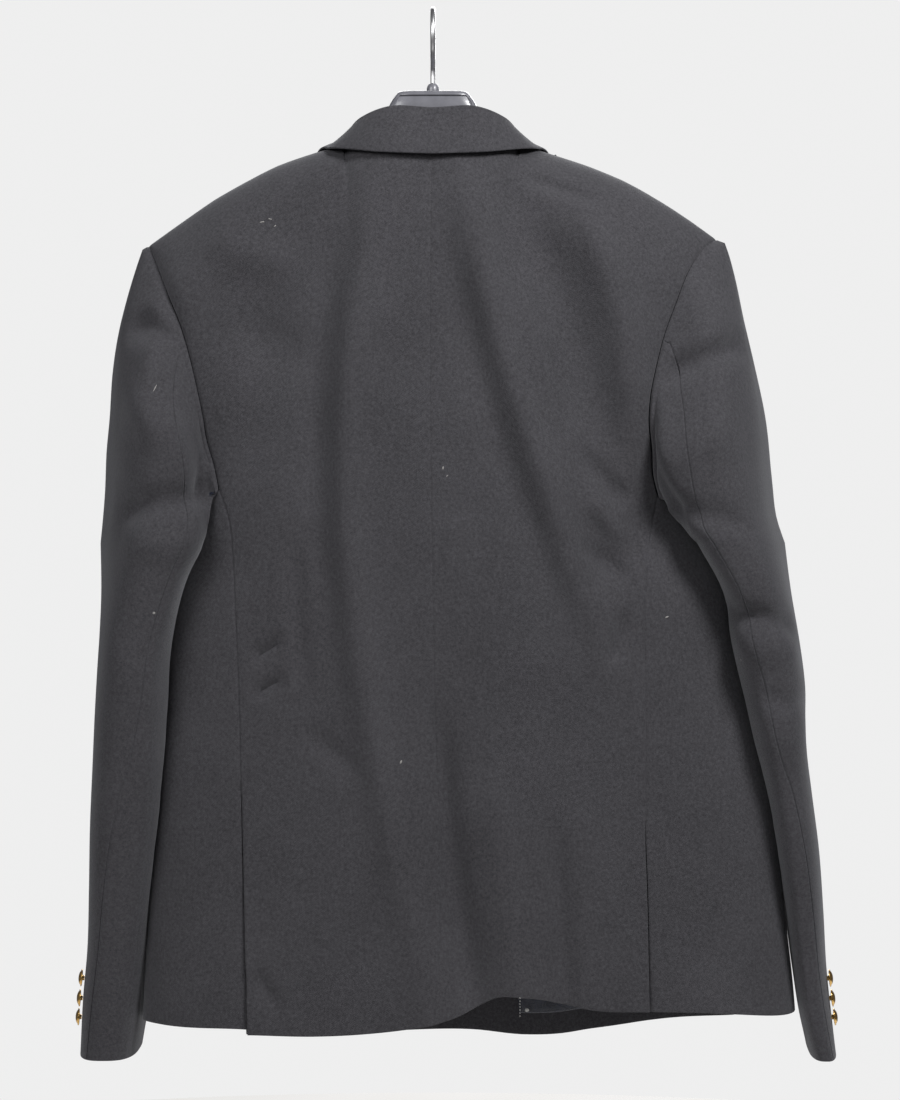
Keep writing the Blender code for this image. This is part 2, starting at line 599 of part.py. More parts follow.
def body_grids(side, line):
    """The back, side and front of one side, as grids that share their points along every seam."""
    side_back = nodes((line["side_back"], SIDE_ROWS, 1))
    arm_back = nodes((line["arm_back"], ARM_BACK_ROWS, ARM_CROWD))
    side_front = nodes((line["side_front"], SIDE_ROWS, 1))
    arm_front = nodes((line["arm_front"], ARM_FRONT_ROWS, ARM_CROWD))
    shoulder = nodes((line["shoulder"], SHOULDER_COLUMNS, 1))
    centre = nodes((line["centre"], SIDE_ROWS + ARM_BACK_ROWS, BACK_CROWD))
    hem = nodes((line["hem_back"], NECK_COLUMNS + SHOULDER_COLUMNS, 1))
    neck = nodes((line["neck_back"], NECK_COLUMNS, 1))
    outer = np.vstack([side_back, arm_back[1:]])
    back = cloth_grid((hem, np.vstack([neck, shoulder[1:]]), centre, outer), back_y)

    inner = side_back.copy()
    inner[0] += VENT_STEP[side] * unit(inner[1] - inner[0])
    hem = ended_at(nodes((line["hem_side"], SIDE_COLUMNS, 1)), inner[0], 0.4, last=False)
    under = nodes((line["underarm"], SIDE_COLUMNS, 1))
    piece = cloth_grid((hem, under, inner, side_front), lambda y, z: side_x(y, z, side), across=1)

    roll_rows = SIDE_ROWS + ARM_FRONT_ROWS - EDGE_ROWS - NECK_ROWS
    inner = nodes((line["front_edge"], EDGE_ROWS, 1), (line["roll"], roll_rows, 1),
                  (line["neck_side"], NECK_ROWS, 1))
    hem = nodes((line["hem_front"], SHOULDER_COLUMNS, FRONT_CROWD))
    outer = np.vstack([side_front, arm_front[1:]])
    front = cloth_grid((hem, shoulder, inner, outer), front_of(side))
    return {"back": back, "side": piece, "front": front}


def body_panels(side, word, grids):
    half = SEAM_GAP / 2
    back = drawn_in(grids["back"], top=SHOULDER_GAP, inner=half, outer=half)
    wall_of("back_" + word, back, CLOTH, WOOL, turned=side < 0)
    piece = drawn_in(grids["side"], top=half, inner=half, outer=CORNER_GAP)
    wall_of("side_" + word, piece, CLOTH, WOOL, turned=side < 0)
    front = drawn_in(grids["front"], top=SHOULDER_GAP, outer=CORNER_GAP)
    wall_of("front_" + word, front, CLOTH, WOOL, turned=side > 0)


def grid_normals(grid, side):
    """The outward normals of a grid whose rows run up and whose columns run away from the centre."""
    across = np.gradient(grid, axis=1)
    up = np.gradient(grid, axis=0)
    found = unit(np.cross(across, up)) * side
    return found * np.where(found[..., 1:2].mean() * (grid[..., 1:2].mean() - RING_Y) < 0, -1, 1)


def shoulder_height(x, y):
    """The height of the garment's top over a point."""
    centre, half, back, front = ring_at(ridge_height(x) - 20)
    across = np.maximum(rounded((x - centre) / half), 0.2)
    behind = y < RIDGE_Y
    depth = np.where(behind, back, front) * across
    share = np.clip(np.abs(y - RIDGE_Y) / depth, 0, 0.999)
    drop = np.where(behind, DOME_BACK, DOME_FRONT)
    return ridge_height(x) - drop * (1 - np.sqrt(1 - share**2))


def ring_points(side, z, share):
    """Points round a sleeve at a height. share 0 faces out, 0.25 back and 0.5 the body."""
    table = SLEEVES[side]
    outer, inner, back, front, lean = smooth(table[:, 0], table[:, 1:], z).T
    angle = 2 * math.pi * share
    cosine, sine = np.cos(angle), np.sin(angle)
    reach_x = np.sign(cosine) * np.abs(cosine) ** (2 / SLEEVE_POWER)
    reach_y = np.sign(sine) * np.abs(sine) ** (2 / SLEEVE_POWER)
    half = np.sqrt(((outer - inner) / 2) ** 2 - lean**2)
    x = (outer + inner) / 2 + half * reach_x - lean * reach_y
    y = (back + front) / 2 - (front - back) / 2 * reach_y
    return np.stack([side * x, y, np.broadcast_to(z, x.shape)], axis=-1)


def clear_of_body(points, side, clearance):
    """Moves points out past the body's side, where they would be nearer to it than the clearance."""
    limit = side * side_x(points[..., 1], points[..., 2], side) + clearance
    within = np.abs(points[..., 1] - RING_Y) < 62
    low = ramp(-points[..., 2], 372, 398)
    found = side * points[..., 0]
    lifted_x = np.where(within, np.maximum(found, limit), found)
    made = points.copy()
    made[..., 0] = side * (found + (lifted_x - found) * low)
    return made


def sleeve_grid(side, grids):
    """A sleeve from the armhole down, one column for each grid line round the armhole."""
    back, piece, front = grids["back"], grids["side"], grids["front"]
    corner = SIDE_ROWS
    loop = np.vstack([back[corner:, -1][::-1], piece[-1][1:-1], front[corner:-1, -1]])
    back_normals = grid_normals(back, side)[corner:, -1][::-1]
    front_normals = grid_normals(front, side)[corner:-1, -1]
    side_normals = np.tile((side, 0.0, 0.0), (len(piece[-1]) - 2, 1))
    normals = np.vstack([back_normals, side_normals, front_normals])
    normals[0] = unit(np.array((side * 0.45, 0.0, 0.89)))
    count = len(loop)
    steps = np.linalg.norm(np.roll(loop, -1, axis=0) - loop, axis=1)
    share = np.concatenate([[0], np.cumsum(steps)[:-1]]) / steps.sum()

    def shares_at(z):
        hind = smooth(HIND_SEAM[:, 0], HIND_SEAM[:, 1], z)
        keys = (0, HIND_COLUMN, FORE_COLUMN, count)
        return np.interp(np.arange(count), keys, (0, hind, FORE_SEAM, 1))

    top = SLEEVES[side][-1, 0]
    levels = np.linspace(top, SLEEVES[side][0, 0], SLEEVE_ROWS + 1)[1:]
    first = ring_points(side, np.full(count, top), shares_at(top))
    below = ring_points(side, np.full(count, top - 6), shares_at(top - 6))
    far = np.linalg.norm(first - loop, axis=1)[:, None]
    middle = (loop[:, 1].max() + loop[:, 1].min()) / 2
    spread = (loop[:, 1] - middle) / (loop[:, 1].max() - middle)
    away = unit(np.column_stack([np.full(count, side * 0.66), 0.4 * spread, np.full(count, -0.66)]))
    inward = np.sum(away * normals, axis=1, keepdims=True)
    flush = unit(away - np.minimum(inward, 0) * normals)
    start = loop + SEAM_TURN * flush
    rows = [loop, start]
    outline = np.vstack([(top, (side * first[:, 0]).max()), SLEEVE_HEAD[side]])
    for k in range(1, CAP_ROWS + 1):
        t = (k / CAP_ROWS) ** 1.25
        leave = (2 * t**3 - 3 * t**2 + 1) * start + (t**3 - 2 * t**2 + t) * far * away
        arrive = (3 * t**2 - 2 * t**3) * first + (t**3 - t**2) * far * unit(below - first)
        row = leave + arrive
        out = side * (row[:, 0] - loop[:, 0])
        reach = smooth(outline[:, 0], outline[:, 1], row[0, 2]) - side * loop[:, 0]
        row[:, 0] += side * out * (np.min((reach / out)[out > HEAD_REACH]) - 1)
        rows.append(clear_of_body(row, side, SLEEVE_CLEAR * min(1, 3 * t)))
    for z in levels:
        ring = ring_points(side, np.full(count, z), shares_at(z))
        rows.append(clear_of_body(ring, side, SLEEVE_CLEAR))
    grid = np.array(rows)
    middle = grid.mean(axis=1, keepdims=True)
    out = unit((grid - middle) * (1, 1, 0))
    cap = [share + (shares_at(top) - share) * k / CAP_ROWS for k in range(1, CAP_ROWS + 1)]
    spans = np.array([share, share, *cap, *[shares_at(z) for z in levels]])
    for s1, z1, s2, z2, width, height in SLEEVE_FOLDS[side]:
        centre = z1 + (z2 - z1) * np.clip((spans - s1) / (s2 - s1), 0, 1)
        ends = ramp(spans, s1 - 0.08, s1 + 0.03) * (1 - ramp(spans, s2 - 0.03, s2 + 0.08))
        bump = height * ends * np.exp(-(((grid[..., 2] - centre) / width) ** 2))
        bump[:3] = 0
        grid += out * bump[..., None]
    return grid


def sleeves(side, word, grids):
    grid = sleeve_grid(side, grids)
    ring = np.arange(grid.shape[1])
    top = np.concatenate([ring[FORE_COLUMN:], ring[: HIND_COLUMN + 1]])
    under = ring[HIND_COLUMN : FORE_COLUMN + 1]
    for name, columns in (("top_sleeve_", top), ("under_sleeve_", under)):
        piece = drawn_in(grid[:, columns], bottom=SEAM_GAP / 2, inner=SLEEVE_GAP, outer=SLEEVE_GAP)
        wall_of(name + word, piece, CLOTH, WOOL, turned=side < 0)
    return grid


def collar_half(side, neck):
    """The sections of one half of the collar, from the centre back to its end at the front."""
    table = COLLAR_ROWS.copy()
    keys = np.concatenate([[0], np.cumsum(np.linalg.norm(np.diff(table[:, :3], axis=0), axis=1))])
    steps = np.linalg.norm(np.diff(neck, axis=0), axis=1)
    place = np.concatenate([[0], np.cumsum(steps)])
    place *= keys[-1] / place[-1]
    rows = smooth(keys, table[:, 3:], place)
    mirror = np.array((side, 1, 1))
    run = unit(np.gradient(neck, axis=0)) * side
    run[0] = (1, 0, 0)
    stand = rows[:, :3] * mirror
    stand = unit(stand - np.sum(stand * run, axis=1, keepdims=True) * run)
    out = unit(np.cross(run, stand))
    height = rows[:, 3:4]
    edge = rows[:, 4:] * mirror
    on_front = np.abs(edge[:, 0]) > COLLAR_FRONT - 0.1
    laid_edge = lifted(front_of(side), edge[:, 0], edge[:, 2], COLLAR_LIFT)
    edge = np.where(on_front[:, None], laid_edge, edge)
    foot = neck + COLLAR_SEAM * stand - COLLAR_WALL * out
    centre = neck + (height + COLLAR_SEAM) * stand + (COLLAR_FOLD - COLLAR_WALL) * out
    turns = np.radians(FOLD_ANGLES)
    arcs = [centre + COLLAR_FOLD * (math.sin(turn) * out + math.cos(turn) * stand) for turn in turns]
    start = arcs[-1]
    fall = []
    gorge = np.array((GORGE_START, NOTCH, COLLAR_CORNER)) * (side, 1)
    for share in COLLAR_FALL:
        line = start + (edge - start) * share
        place = np.interp(share, (0, COLLAR_FALL[-2], 1), (0, 1, 2))
        plan = np.array([np.interp(place, (0, 1, 2), gorge[:, k]) for k in (0, 1)])
        end = lifted(front_of(side), plan[0], plan[1], COLLAR_LIFT)
        weight = np.linspace(0, 1, len(line)) ** 6
        line = line + weight[:, None] * (end - line[-1])
        top = shoulder_height(line[:, 0], line[:, 1]) + COLLAR_LIFT + COLLAR_MORE - COLLAR_TAPER * share**2
        near = np.abs(line[:, 0]) > NECK_POINT
        line[:, 2] = np.where(near & (weight < 0.5), np.maximum(line[:, 2], top), line[:, 2])
        fall.append(line)
    return np.stack([foot, *arcs, *fall], axis=1)


def collar(halves):
    left, right = halves
    sections = np.vstack([left[::-1], right[1:]])
    sections[len(left) - 1] = (left[0] + right[0]) / 2
    wall_of("collar", sections, COLLAR_WALL, WOOL, turned=False)


def lapel(side, word, grids):
    """The front's upper corner, folded back at the roll line and laid over the front."""
    grid = grids["front"]
    rows = slice(EDGE_ROWS, grid.shape[0] - NECK_ROWS)
    roll = grid[rows, 0]
    away = unit(roll - grid[rows, 1])
    out = grid_normals(grid, side)[rows, 0]
    away = unit(away - np.sum(away * out, axis=1, keepdims=True) * out)
    centre = roll + SEAM_GAP * away + (LAPEL_LIFT - FOLD_RADIUS) * out
    turns = np.radians(FOLD_ANGLES)
    columns = [centre + FOLD_RADIUS * (math.sin(turn) * out + math.cos(turn) * away) for turn in turns]
    run = unit(roll[-1, [0, 2]] - roll[0, [0, 2]])
    across = np.array((run[1], -run[0])) * side
    share = np.linspace(0, 1, len(roll))
    width = smooth(LAPEL_EDGE[:, 0], LAPEL_EDGE[:, 1], share)
    edge = roll[:, [0, 2]] + width[:, None] * across
    peak = PEAK * (side, 1)
    edge += (peak - edge[-1]) * (share**3)[:, None]
    gorge = np.array((GORGE_START, NOTCH, PEAK)) * (side, 1)
    for part in LAPEL_COLUMNS:
        plan = roll[:, [0, 2]] + part * (edge - roll[:, [0, 2]])
        end = np.array([np.interp(part, (0, 0.5, 1), gorge[:, k]) for k in (0, 1)])
        plan += (end - plan[-1]) * (share**8)[:, None]
        columns.append(lifted(front_of(side), plan[:, 0], plan[:, 1], LAPEL_LIFT))
    points = drawn_in(np.stack(columns, axis=1), top=COLLAR_SEAM)
    wall_of("lapel_" + word, points, CLOTH, WOOL, turned=side < 0)


def moved_in(grid, side, depth):
    """A grid moved in from its cloth's outer face."""
    return grid - grid_normals(grid, side) * depth


def vent_underlap(side, word, grids):
    """The strip of the side piece that lies under the back's edge at the vent."""
    grid = moved_in(grids["back"], side, LAY + CHORD)[:, -VENT_COLUMNS - 1 :]
    rows = int(np.sum(grid[:, -1, 2] < VENT_TOP[side]))
    wall_of("vent_underlap_" + word, drawn_in(grid[:rows], outer=SEAM_GAP), CLOTH, WOOL, turned=side < 0)


def lining(grids):
    """The lining inside the right front, from its cloth facing to the side seam and up to the armhole."""
    grid = moved_in(grids["front"], 1, LAY + CHORD)[: SIDE_ROWS + 1]
    first = int(np.sum(grid[0, :, 0] < LINING_EDGE))
    share = (LINING_EDGE - grid[0, first - 1, 0]) / (grid[0, first, 0] - grid[0, first - 1, 0])
    edge = grid[:, first - 1] + (grid[:, first] - grid[:, first - 1]) * share
    points = np.concatenate([edge[:, None], grid[:, first:]], axis=1)
    up = LINING_HEM / np.linalg.norm(points[1] - points[0], axis=1, keepdims=True)
    points[0] += (points[1] - points[0]) * up
    wall_of("lining_front_right", drawn_in(points, outer=2 * SEAM_GAP), LINING_WALL, LINING, turned=True)


def button(name, size, foot, axis):
    obj = turned_piece(name, BUTTON_PROFILE * (size / 2, size), BUTTON_STEPS, GOLD)
    direction = Vector(axis)
    obj.rotation_mode = "QUATERNION"
    obj.rotation_quaternion = Vector((0, 0, 1)).rotation_difference(direction)
    obj.location = Vector(foot) * MM + direction * BUTTON_GAP * MM
    return obj


def buttons():
    for side, word in ((-1, "left"), (1, "right")):
        for number, z in enumerate(CUFF_BUTTON_HEIGHTS, 1):
            around = ring_points(side, np.full(3, z), CUFF_BUTTON_SHARE + np.array((-0.01, 0, 0.01)))
            above = ring_points(side, np.full(1, z + 5), np.array((CUFF_BUTTON_SHARE,)))[0]
            axis = unit(np.cross(around[2] - around[0], above - around[1])) * side
            axis *= np.sign(axis[0]) * side
            button(f"cuff_button_{word}_{number}", CUFF_BUTTON, around[1], axis)
    for side, row, distance, z in FRONT_BUTTONS:
        word = "left" if side < 0 else "right"
        x = np.array(ring_at(np.array(float(z)))[0] + side * distance)
        # All but the top one at the right sit on the left front, which laps over.
        cloth = front_of(1 if side > 0 and row == 3 else -1)
        foot = lifted(cloth, x, np.array(float(z)), np.array(0.0))
        axis = normals_of(cloth, x, np.array(float(z)))
        button(f"front_button_{word}_{row}", FRONT_BUTTON, foot, axis)


def lofted(name, rings, look):
    """A solid through rings of points, all with the same count, closed by a face at each end."""
    count = len(rings[0])
    points = [tuple(point * MM) for ring in rings for point in ring]
    faces = [tuple(range(count))[::-1], tuple(range(len(points) - count, len(points)))]
    for k in range(len(rings) - 1):
        for j in range(count):
            after = (j + 1) % count
            low, high = k * count, (k + 1) * count
            faces.append((low + j, low + after, high + after, high + j))
    mesh = bpy.data.meshes.new(name)
    mesh.from_pydata(points, [], faces)
    obj = bpy.data.objects.new(name, mesh)
    bpy.context.scene.collection.objects.link(obj)
    return placed(obj, name, look)


def hanger_arms():
    """Both arms as one bar, its top fitted under the cloth of the shoulders."""
    rings = []
    for x, half, height in ARMS:
        offsets = half * np.array((-1, -0.85, -0.5, 0, 0.5, 0.85, 1))
        sides = np.minimum(1, np.abs(offsets) / 4) * (1 + np.clip(offsets / 8, 0, 2))
        clear = ARM_CLEAR + ARM_SIDE_CLEAR * sides
        top = shoulder_height(np.full(7, float(x)), RIDGE_Y + offsets) - CLOTH * 1.1 - clear
        top = np.minimum(top, ARM_NECK_TOP)
        top[[0, -1]] -= height * 0.3
        low = half * np.array((0.8, 0, -0.8))
        bottom = top[3] - height * np.array((0.85, 1, 0.85))
        y = RIDGE_Y + np.concatenate([offsets, low])
        rings.append(np.column_stack([np.full(10, float(x)), y, np.concatenate([top, bottom])]))
    return lofted("hanger_body", [ring[::-1] for ring in rings], PLASTIC)


def hanger_neck():
    angles = 2 * math.pi * np.arange(16) / 16
    rings = []
    for z, half_x, half_y in NECK_BLOCK:
        x = half_x * np.sign(np.cos(angles)) * np.abs(np.cos(angles)) ** 0.5
        y = half_y * np.sign(np.sin(angles)) * np.abs(np.sin(angles)) ** 0.5
        rings.append(np.column_stack([x, y, np.full(16, float(z))]))
    return lofted("hanger_neck", rings, PLASTIC)


def hanger():
    body = hanger_arms()
    neck = hanger_neck()
    joined = body.modifiers.new("Neck", "BOOLEAN")
    joined.operation = "UNION"
    joined.object = neck
    neck.hide_render = True
    neck.display_type = "WIRE"
    guides = bpy.data.collections.new("guides")
    bpy.context.scene.collection.children.link(guides)
    bpy.data.collections["reefer_jacket"].objects.unlink(neck)
    guides.objects.link(neck)
    turned_piece("hanger_ferrule", FERRULE, 16, PLASTIC)
    route = [(0, 0, HOOK_FOOT), (0, 0, -48)]
    for angle in np.radians(np.arange(235, -50, -15)):
        y = (HOOK_RADIUS + HOOK_WIRE) * math.cos(angle)
        z = (HOOK_RADIUS + HOOK_WIRE) * math.sin(angle) - HOOK_RADIUS
        route.append((0, y, z))
    route.insert(2, (0, -3, -43.5))
    curve = bpy.data.curves.new("hanger_hook", "CURVE")
    curve.dimensions = "3D"
    curve.bevel_depth = HOOK_WIRE * MM
    curve.bevel_resolution = 2
    curve.use_fill_caps = True
    spline = curve.splines.new("POLY")
    spline.points.add(len(route) - 1)
    for point, place in zip(spline.points, route):
        point.co = (*[value * MM for value in place], 1)
    obj = bpy.data.objects.new("hanger_hook", curve)
    bpy.context.scene.collection.objects.link(obj)
    placed(obj, "hanger_hook", STEEL)


def start():
    for obj in list(bpy.data.objects):
        bpy.data.objects.remove(obj)
    made = bpy.data.collections.new("reefer_jacket")
    bpy.context.scene.collection.children.link(made)


def build():
    start()
    halves = []
    for side, word in ((-1, "left"), (1, "right")):
        line = seams_of(side)
        grids = body_grids(side, line)
        body_panels(side, word, grids)
        sleeves(side, word, grids)
        lapel(side, word, grids)
        behind = grids["back"][-1, : NECK_COLUMNS + 1]
        before = grids["front"][-1 : -NECK_ROWS - 2 : -1, 0]
        neck = np.vstack([behind, before[1:]])
        halves.append(collar_half(side, neck))
        vent_underlap(side, word, grids)
        if side > 0:
            lining(grids)
    collar(halves)
    buttons()
    hanger()


build()
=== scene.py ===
"""The looks of a double-breasted wool jacket on a plastic hanger, seen from its back at -Y.

Tables are in millimetres, with the inner top of the hanger's hook at the origin. +X is the wearer's
right, +Y the wearer's front, +Z up. The cloth's form is worked out as for the solids, on finer grids.
"""

import math

import bpy
import numpy as np
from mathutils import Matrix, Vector


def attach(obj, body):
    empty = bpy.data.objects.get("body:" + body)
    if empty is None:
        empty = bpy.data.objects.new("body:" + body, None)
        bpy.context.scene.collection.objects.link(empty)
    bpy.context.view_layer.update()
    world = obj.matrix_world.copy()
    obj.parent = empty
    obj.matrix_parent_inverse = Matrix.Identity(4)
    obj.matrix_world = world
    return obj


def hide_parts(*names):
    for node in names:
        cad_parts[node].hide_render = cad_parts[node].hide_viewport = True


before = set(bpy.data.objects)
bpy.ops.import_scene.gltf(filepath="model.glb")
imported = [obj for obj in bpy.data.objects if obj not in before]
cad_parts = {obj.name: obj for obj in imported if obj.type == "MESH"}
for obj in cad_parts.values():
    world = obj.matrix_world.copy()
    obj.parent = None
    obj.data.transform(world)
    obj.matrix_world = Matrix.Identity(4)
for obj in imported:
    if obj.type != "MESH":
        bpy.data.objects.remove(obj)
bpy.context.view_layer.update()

MM = 0.001
CLOTH = 1.6  # wall of the wool cloth
COLLAR_WALL = 2.0
LINING_WALL = 1.0
SEAM_GAP = 0.3
LAY = CLOTH + SEAM_GAP  # from a cloth's outer face to the outer face of what lies against its inside
FINE = 6  # lines here for each of the solids' grid lines
DENSE = 480  # points that a seam line is worked out at

# Grid lines of the pieces. Pieces that meet share them, so the same count serves both.
SIDE_ROWS = 13
ARM_BACK_ROWS = 11
ARM_FRONT_ROWS = 10
ARM_CROWD = 1.7  # how the rows crowd towards the shoulder's end
BACK_CROWD = 1.5
EASE = 5  # how fast a panel's correction at an edge fades away from it
EVEN_REACH = 0.16  # share of a panel's width that the correction at its top is evened out over
EVEN_EASE = 30  # how fast it evens out below the edge
FRONT_CROWD = 1.3
NECK_COLUMNS = 5
SHOULDER_COLUMNS = 8
SIDE_COLUMNS = 6
EDGE_ROWS = 9
NECK_ROWS = 3

# The garment's level rings, as it hangs: a rounded box with this exponent.
RING_POWER = 2.5
RING_Y = 8.0
RINGS = np.array([
    # height, centre x, half width, back y, front y
    (-860, 30.0, 267.0, -62, 62),
    (-792, 29.0, 263.5, -61, 66),
    (-719, 27.0, 257.5, -59, 73),
    (-638, 26.0, 251.0, -58, 80),
    (-557, 18.8, 239.2, -60, 86),
    (-517, 15.3, 233.8, -63, 90),
    (-476, 15.5, 227.5, -66, 94),
    (-444, 13.5, 217.0, -68, 95),
    (-411, 5.0, 205.0, -69, 95),
    (-380, 1.0, 200.0, -69, 93),
    (-350, 0.0, 200.0, -68, 90),
    (-300, 0.0, 205.0, -66, 82),
    (-256, 0.0, 213.0, -63, 74),
    (-212, 0.0, 226.0, -60, 66),
    (-189, 0.0, 232.0, -58, 62),
    (-150, 0.0, 236.0, -54, 56),
    (-100, 0.0, 238.0, -49, 50),
])

# The ridge over the shoulders, carried on over the neck hole so that the cloth rounds into it.
RIDGE_Y = 6.0
DOME_BACK = 75.0  # how far below the ridge the back has its full depth
DOME_FRONT = 95.0
RIDGE_RING = 20  # how far below the ridge the ring is read that gives the shoulder its depth
RIDGE_LEAST = 0.2  # least share of that depth, towards the shoulder's end
SETTLED = (10, 60)  # below the ridge, where folds and the ring's own middle take over
RIDGE = np.array([
    # x, height
    (-230.5, -189.0), (-200, -167.5), (-175, -150.5), (-151, -137), (-124, -123.5), (-90, -112),
    (-72, -107), (-60, -101), (-40, -90), (0, -82), (40, -90), (60, -101), (72, -107), (92, -113.5),
    (125.6, -124.5), (151.5, -135), (182.7, -152), (205.4, -166.5), (229.5, -183.5),
])

# Soft folds, each along a curve through three points: out from the cloth, or in where negative.
FOLD_STEPS = 8  # straight runs that each curve is followed by
FOLD_END = 0.35  # share of its length over which a fold grows from each end
BACK_FOLDS = np.array([
    # top x, z, middle x, z, bottom x, z, half width, height
    (10, -90, 66, -310, 165, -600, 15, 11.0),
    (6, -170, 42, -320, 110, -500, 13, -4.5),
    (52, -110, 108, -258, 150, -420, 22, -12.8),
    (70, -205, 80, -270, 100, -350, 7, 3.0),
    (106, -120, 152, -256, 166, -390, 16, 10.5),
    (58, -128, 100, -147, 150, -160, 6, -12.0),
    (-36, -60, -70, -420, 14, -900, 14, 9.0),
    (-72, -122, -90, -320, -82, -560, 17, -7.5),
    (-120, -110, -128, -270, -120, -420, 34, -9.0),
    (-212, -160, -206, -270, -200, -400, 26, 12.0),
    (-108, -410, -107, -480, -99, -570, 8, -4.5),
    (-104, -575, -80, -596, -50, -620, 8, -3.7),
    (0, -520, 14, -680, 56, -900, 14, -12.0),
    (50, -600, 60, -710, 84, -900, 16, 7.5),
    (98, -640, 101, -720, 112, -880, 10, -6.8),
    (-170, -246, -126, -272, -84, -296, 22, -5.2),
    (-196, -178, -150, -196, -96, -222, 18, 6.8),
    (-146, -524, -132, -516, -112, -504, 5, -5.2),
    (-146, -554, -130, -545, -112, -534, 5, -5.2),
    (-142, -764, -134, -784, -112, -806, 7, -4.5),
    (210, -390, 160, -425, 100, -450, 30, -13.5),
    (160, -402, 140, -384, 108, -348, 8, -6.8),
    (158, -436, 140, -414, 116, -384, 8, 5.2),
    (158, -462, 140, -448, 112, -430, 7, -6.0),
    (154, -478, 148, -505, 136, -534, 6, -4.5),
    (32, -410, 20, -418, 4, -428, 7, 2.3),
])
FRONT_FOLDS = np.array([
    (-150, -200, -146, -330, -120, -480, 22, -5.5),
    (-112, -240, -112, -370, -92, -520, 16, 4.5),
    (-150, -540, -140, -660, -130, -800, 26, 5.0),
    (-60, -600, -56, -700, -62, -810, 22, -4.0),
    (150, -200, 150, -330, 150, -480, 22, -5.5),
    (112, -240, 126, -400, 150, -580, 16, 4.5),
    (170, -580, 176, -700, 180, -810, 24, 5.0),
])

# Centre-back seam and the hem of the back, lifted right of the centre.
CENTRE_BACK = np.array([(0.4, -811.2), (7, -700), (3, -600), (-1, -400), (-2, -250), (-1, -111)])  # x, height
HEM_BACK_LEFT = np.array([(0.4, -811.2), (-19, -814.5), (-57, -818.8), (-93.5, -820.8), (-147.2, -820.4)])
HEM_BACK_RIGHT = np.array([
    (0.4, -811.2), (27.2, -801.9), (39, -795.6), (50, -789.6), (71, -788.9), (86.4, -790.9),
    (108.5, -796.4), (131.4, -800.3), (172.6, -801.6),
])

# Seams between the back and the side pieces, from the hem to the underarm: x, height.
SIDE_BACK = {
    -1: np.array([(-147.2, -820.4), (-148, -792.7), (-150.4, -713.4), (-152.7, -634), (-154.3, -554.8),
                  (-156.7, -491.3), (-159.1, -443.7), (-162.2, -412), (-170.2, -388.2)]),
    1: np.array([(172.6, -801.6), (172.4, -792.7), (171.1, -713.4), (169.2, -646), (169.4, -586.5),
                 (169, -537), (168.4, -473), (171, -443.7), (180.1, -393)]),
}
# Armholes from the top of that seam up the back to the shoulder's end: x, height.
ARMHOLE_BACK = {
    -1: np.array([(-170.2, -388.2), (-174.3, -368.1), (-180.1, -348.8), (-183, -330.4), (-187.7, -307.9),
                  (-194.2, -280.6), (-201.1, -257.8), (-212.1, -231.6), (-220.9, -210.8), (-230.5, -189)]),
    1: np.array([(180.1, -393), (175.6, -376.4), (174.7, -358), (172.1, -332.4), (173.2, -315.7),
                 (178.9, -287.8), (184.7, -265.7), (194.3, -239.5), (206.1, -210.9), (221.6, -189.6),
                 (229.5, -183.5)]),
}
# Armholes down the front, from the shoulder's end to the side piece: distance from the centre, height.
ARMHOLE_FRONT = np.array([
    (230, -186), (220, -197), (203, -215), (188, -240), (177, -270), (171, -300), (169, -330), (170, -360),
    (175, -388),
])
UNDERARM = np.array([(0, -402), (34, -399)])  # y, height
SIDE_FRONT = np.array([(48, -820), (54, -690), (60, -560), (64, -450), (63, -388)])  # y, height
SIDE_HEM = {-1: (-820.4, -816.6, -816.5, -819.0), 1: (-801.6, -808.4, -809.0, -812.0)}

# Fronts: the wearer's left, at -X, laps over the right.
FRONT_LAP = 75.0  # each front's edge past the centre
UNDER_FRONT = 8.0  # how far the right front lies behind the left where they lap, lapel and all
UNDER_ACROSS = (105, 150)  # from the centre out, where that ends
UNDER_DOWN = (200, 280)  # below the origin, where it starts
BREAK_HEIGHT = -520.0
NECK_SIDE = np.array([(72, 6, -107), (70.5, 24, -112.5), (66, 36, -123), (60, 45, -137)])
HEM_FRONT = {
    -1: np.array([(105, -836), (40, -834), (-30, -830), (-100, -826), (-160, -822)]),
    1: np.array([(-45, -834), (35, -833), (74, -837), (106, -836), (130, -832), (162, -828), (200, -823)]),
}

# Lapels and collar: distance from the centre, height.
GORGE_START = np.array((60.0, -137.0))
NOTCH = np.array((97.0, -156.0))
COLLAR_CORNER = np.array((108.0, -137.0))
PEAK = np.array((140.0, -153.0))
LAPEL_EDGE = np.array([(0.0, 9.0), (0.25, 39.0), (0.5, 61.0), (0.75, 76.0), (1.0, 81.2)])  # share, width
FOLD_RADIUS = 2.2
LAPEL_LIFT = 2.8
COLLAR_FOLD = 2.6
COLLAR_SEAM = SEAM_GAP + 0.2  # from the neck's edge to the collar's
NECK_POINT = 71.0  # just inside the shoulder seam's inner end
COLLAR_ROWS = np.array([
    # seam x, y, z, the stand's direction x, y, z, its height, edge x, y, z
    (0, -50, -110.7, 0, 0.1, 0.99, 24.6, 0, -60, -122),
    (36, -46, -110.3, -0.08, 0.12, 0.99, 25.5, 44, -57, -120),
    (60, -26, -108.3, -0.22, 0.05, 0.97, 17, 75, -34, -114.5),
    (71.7, 6, -106.7, -0.45, 0, 0.89, 7.5, 92, 6, -112),
    (70.5, 24, -112.2, -0.75, -0.1, 0.65, 4.5, 99, 25, -117),
    (66, 36, -122.7, -0.92, -0.2, 0.34, 2.2, 105, 35, -127),
    (60, 45, -136.7, -0.93, -0.15, 0.34, 0.8, 108, 42, -137),
])
NOTCH_SHARE = 0.66
COLLAR_FALL = np.linspace(0, 1, 19)[1:]  # share of the way from the fold to the edge
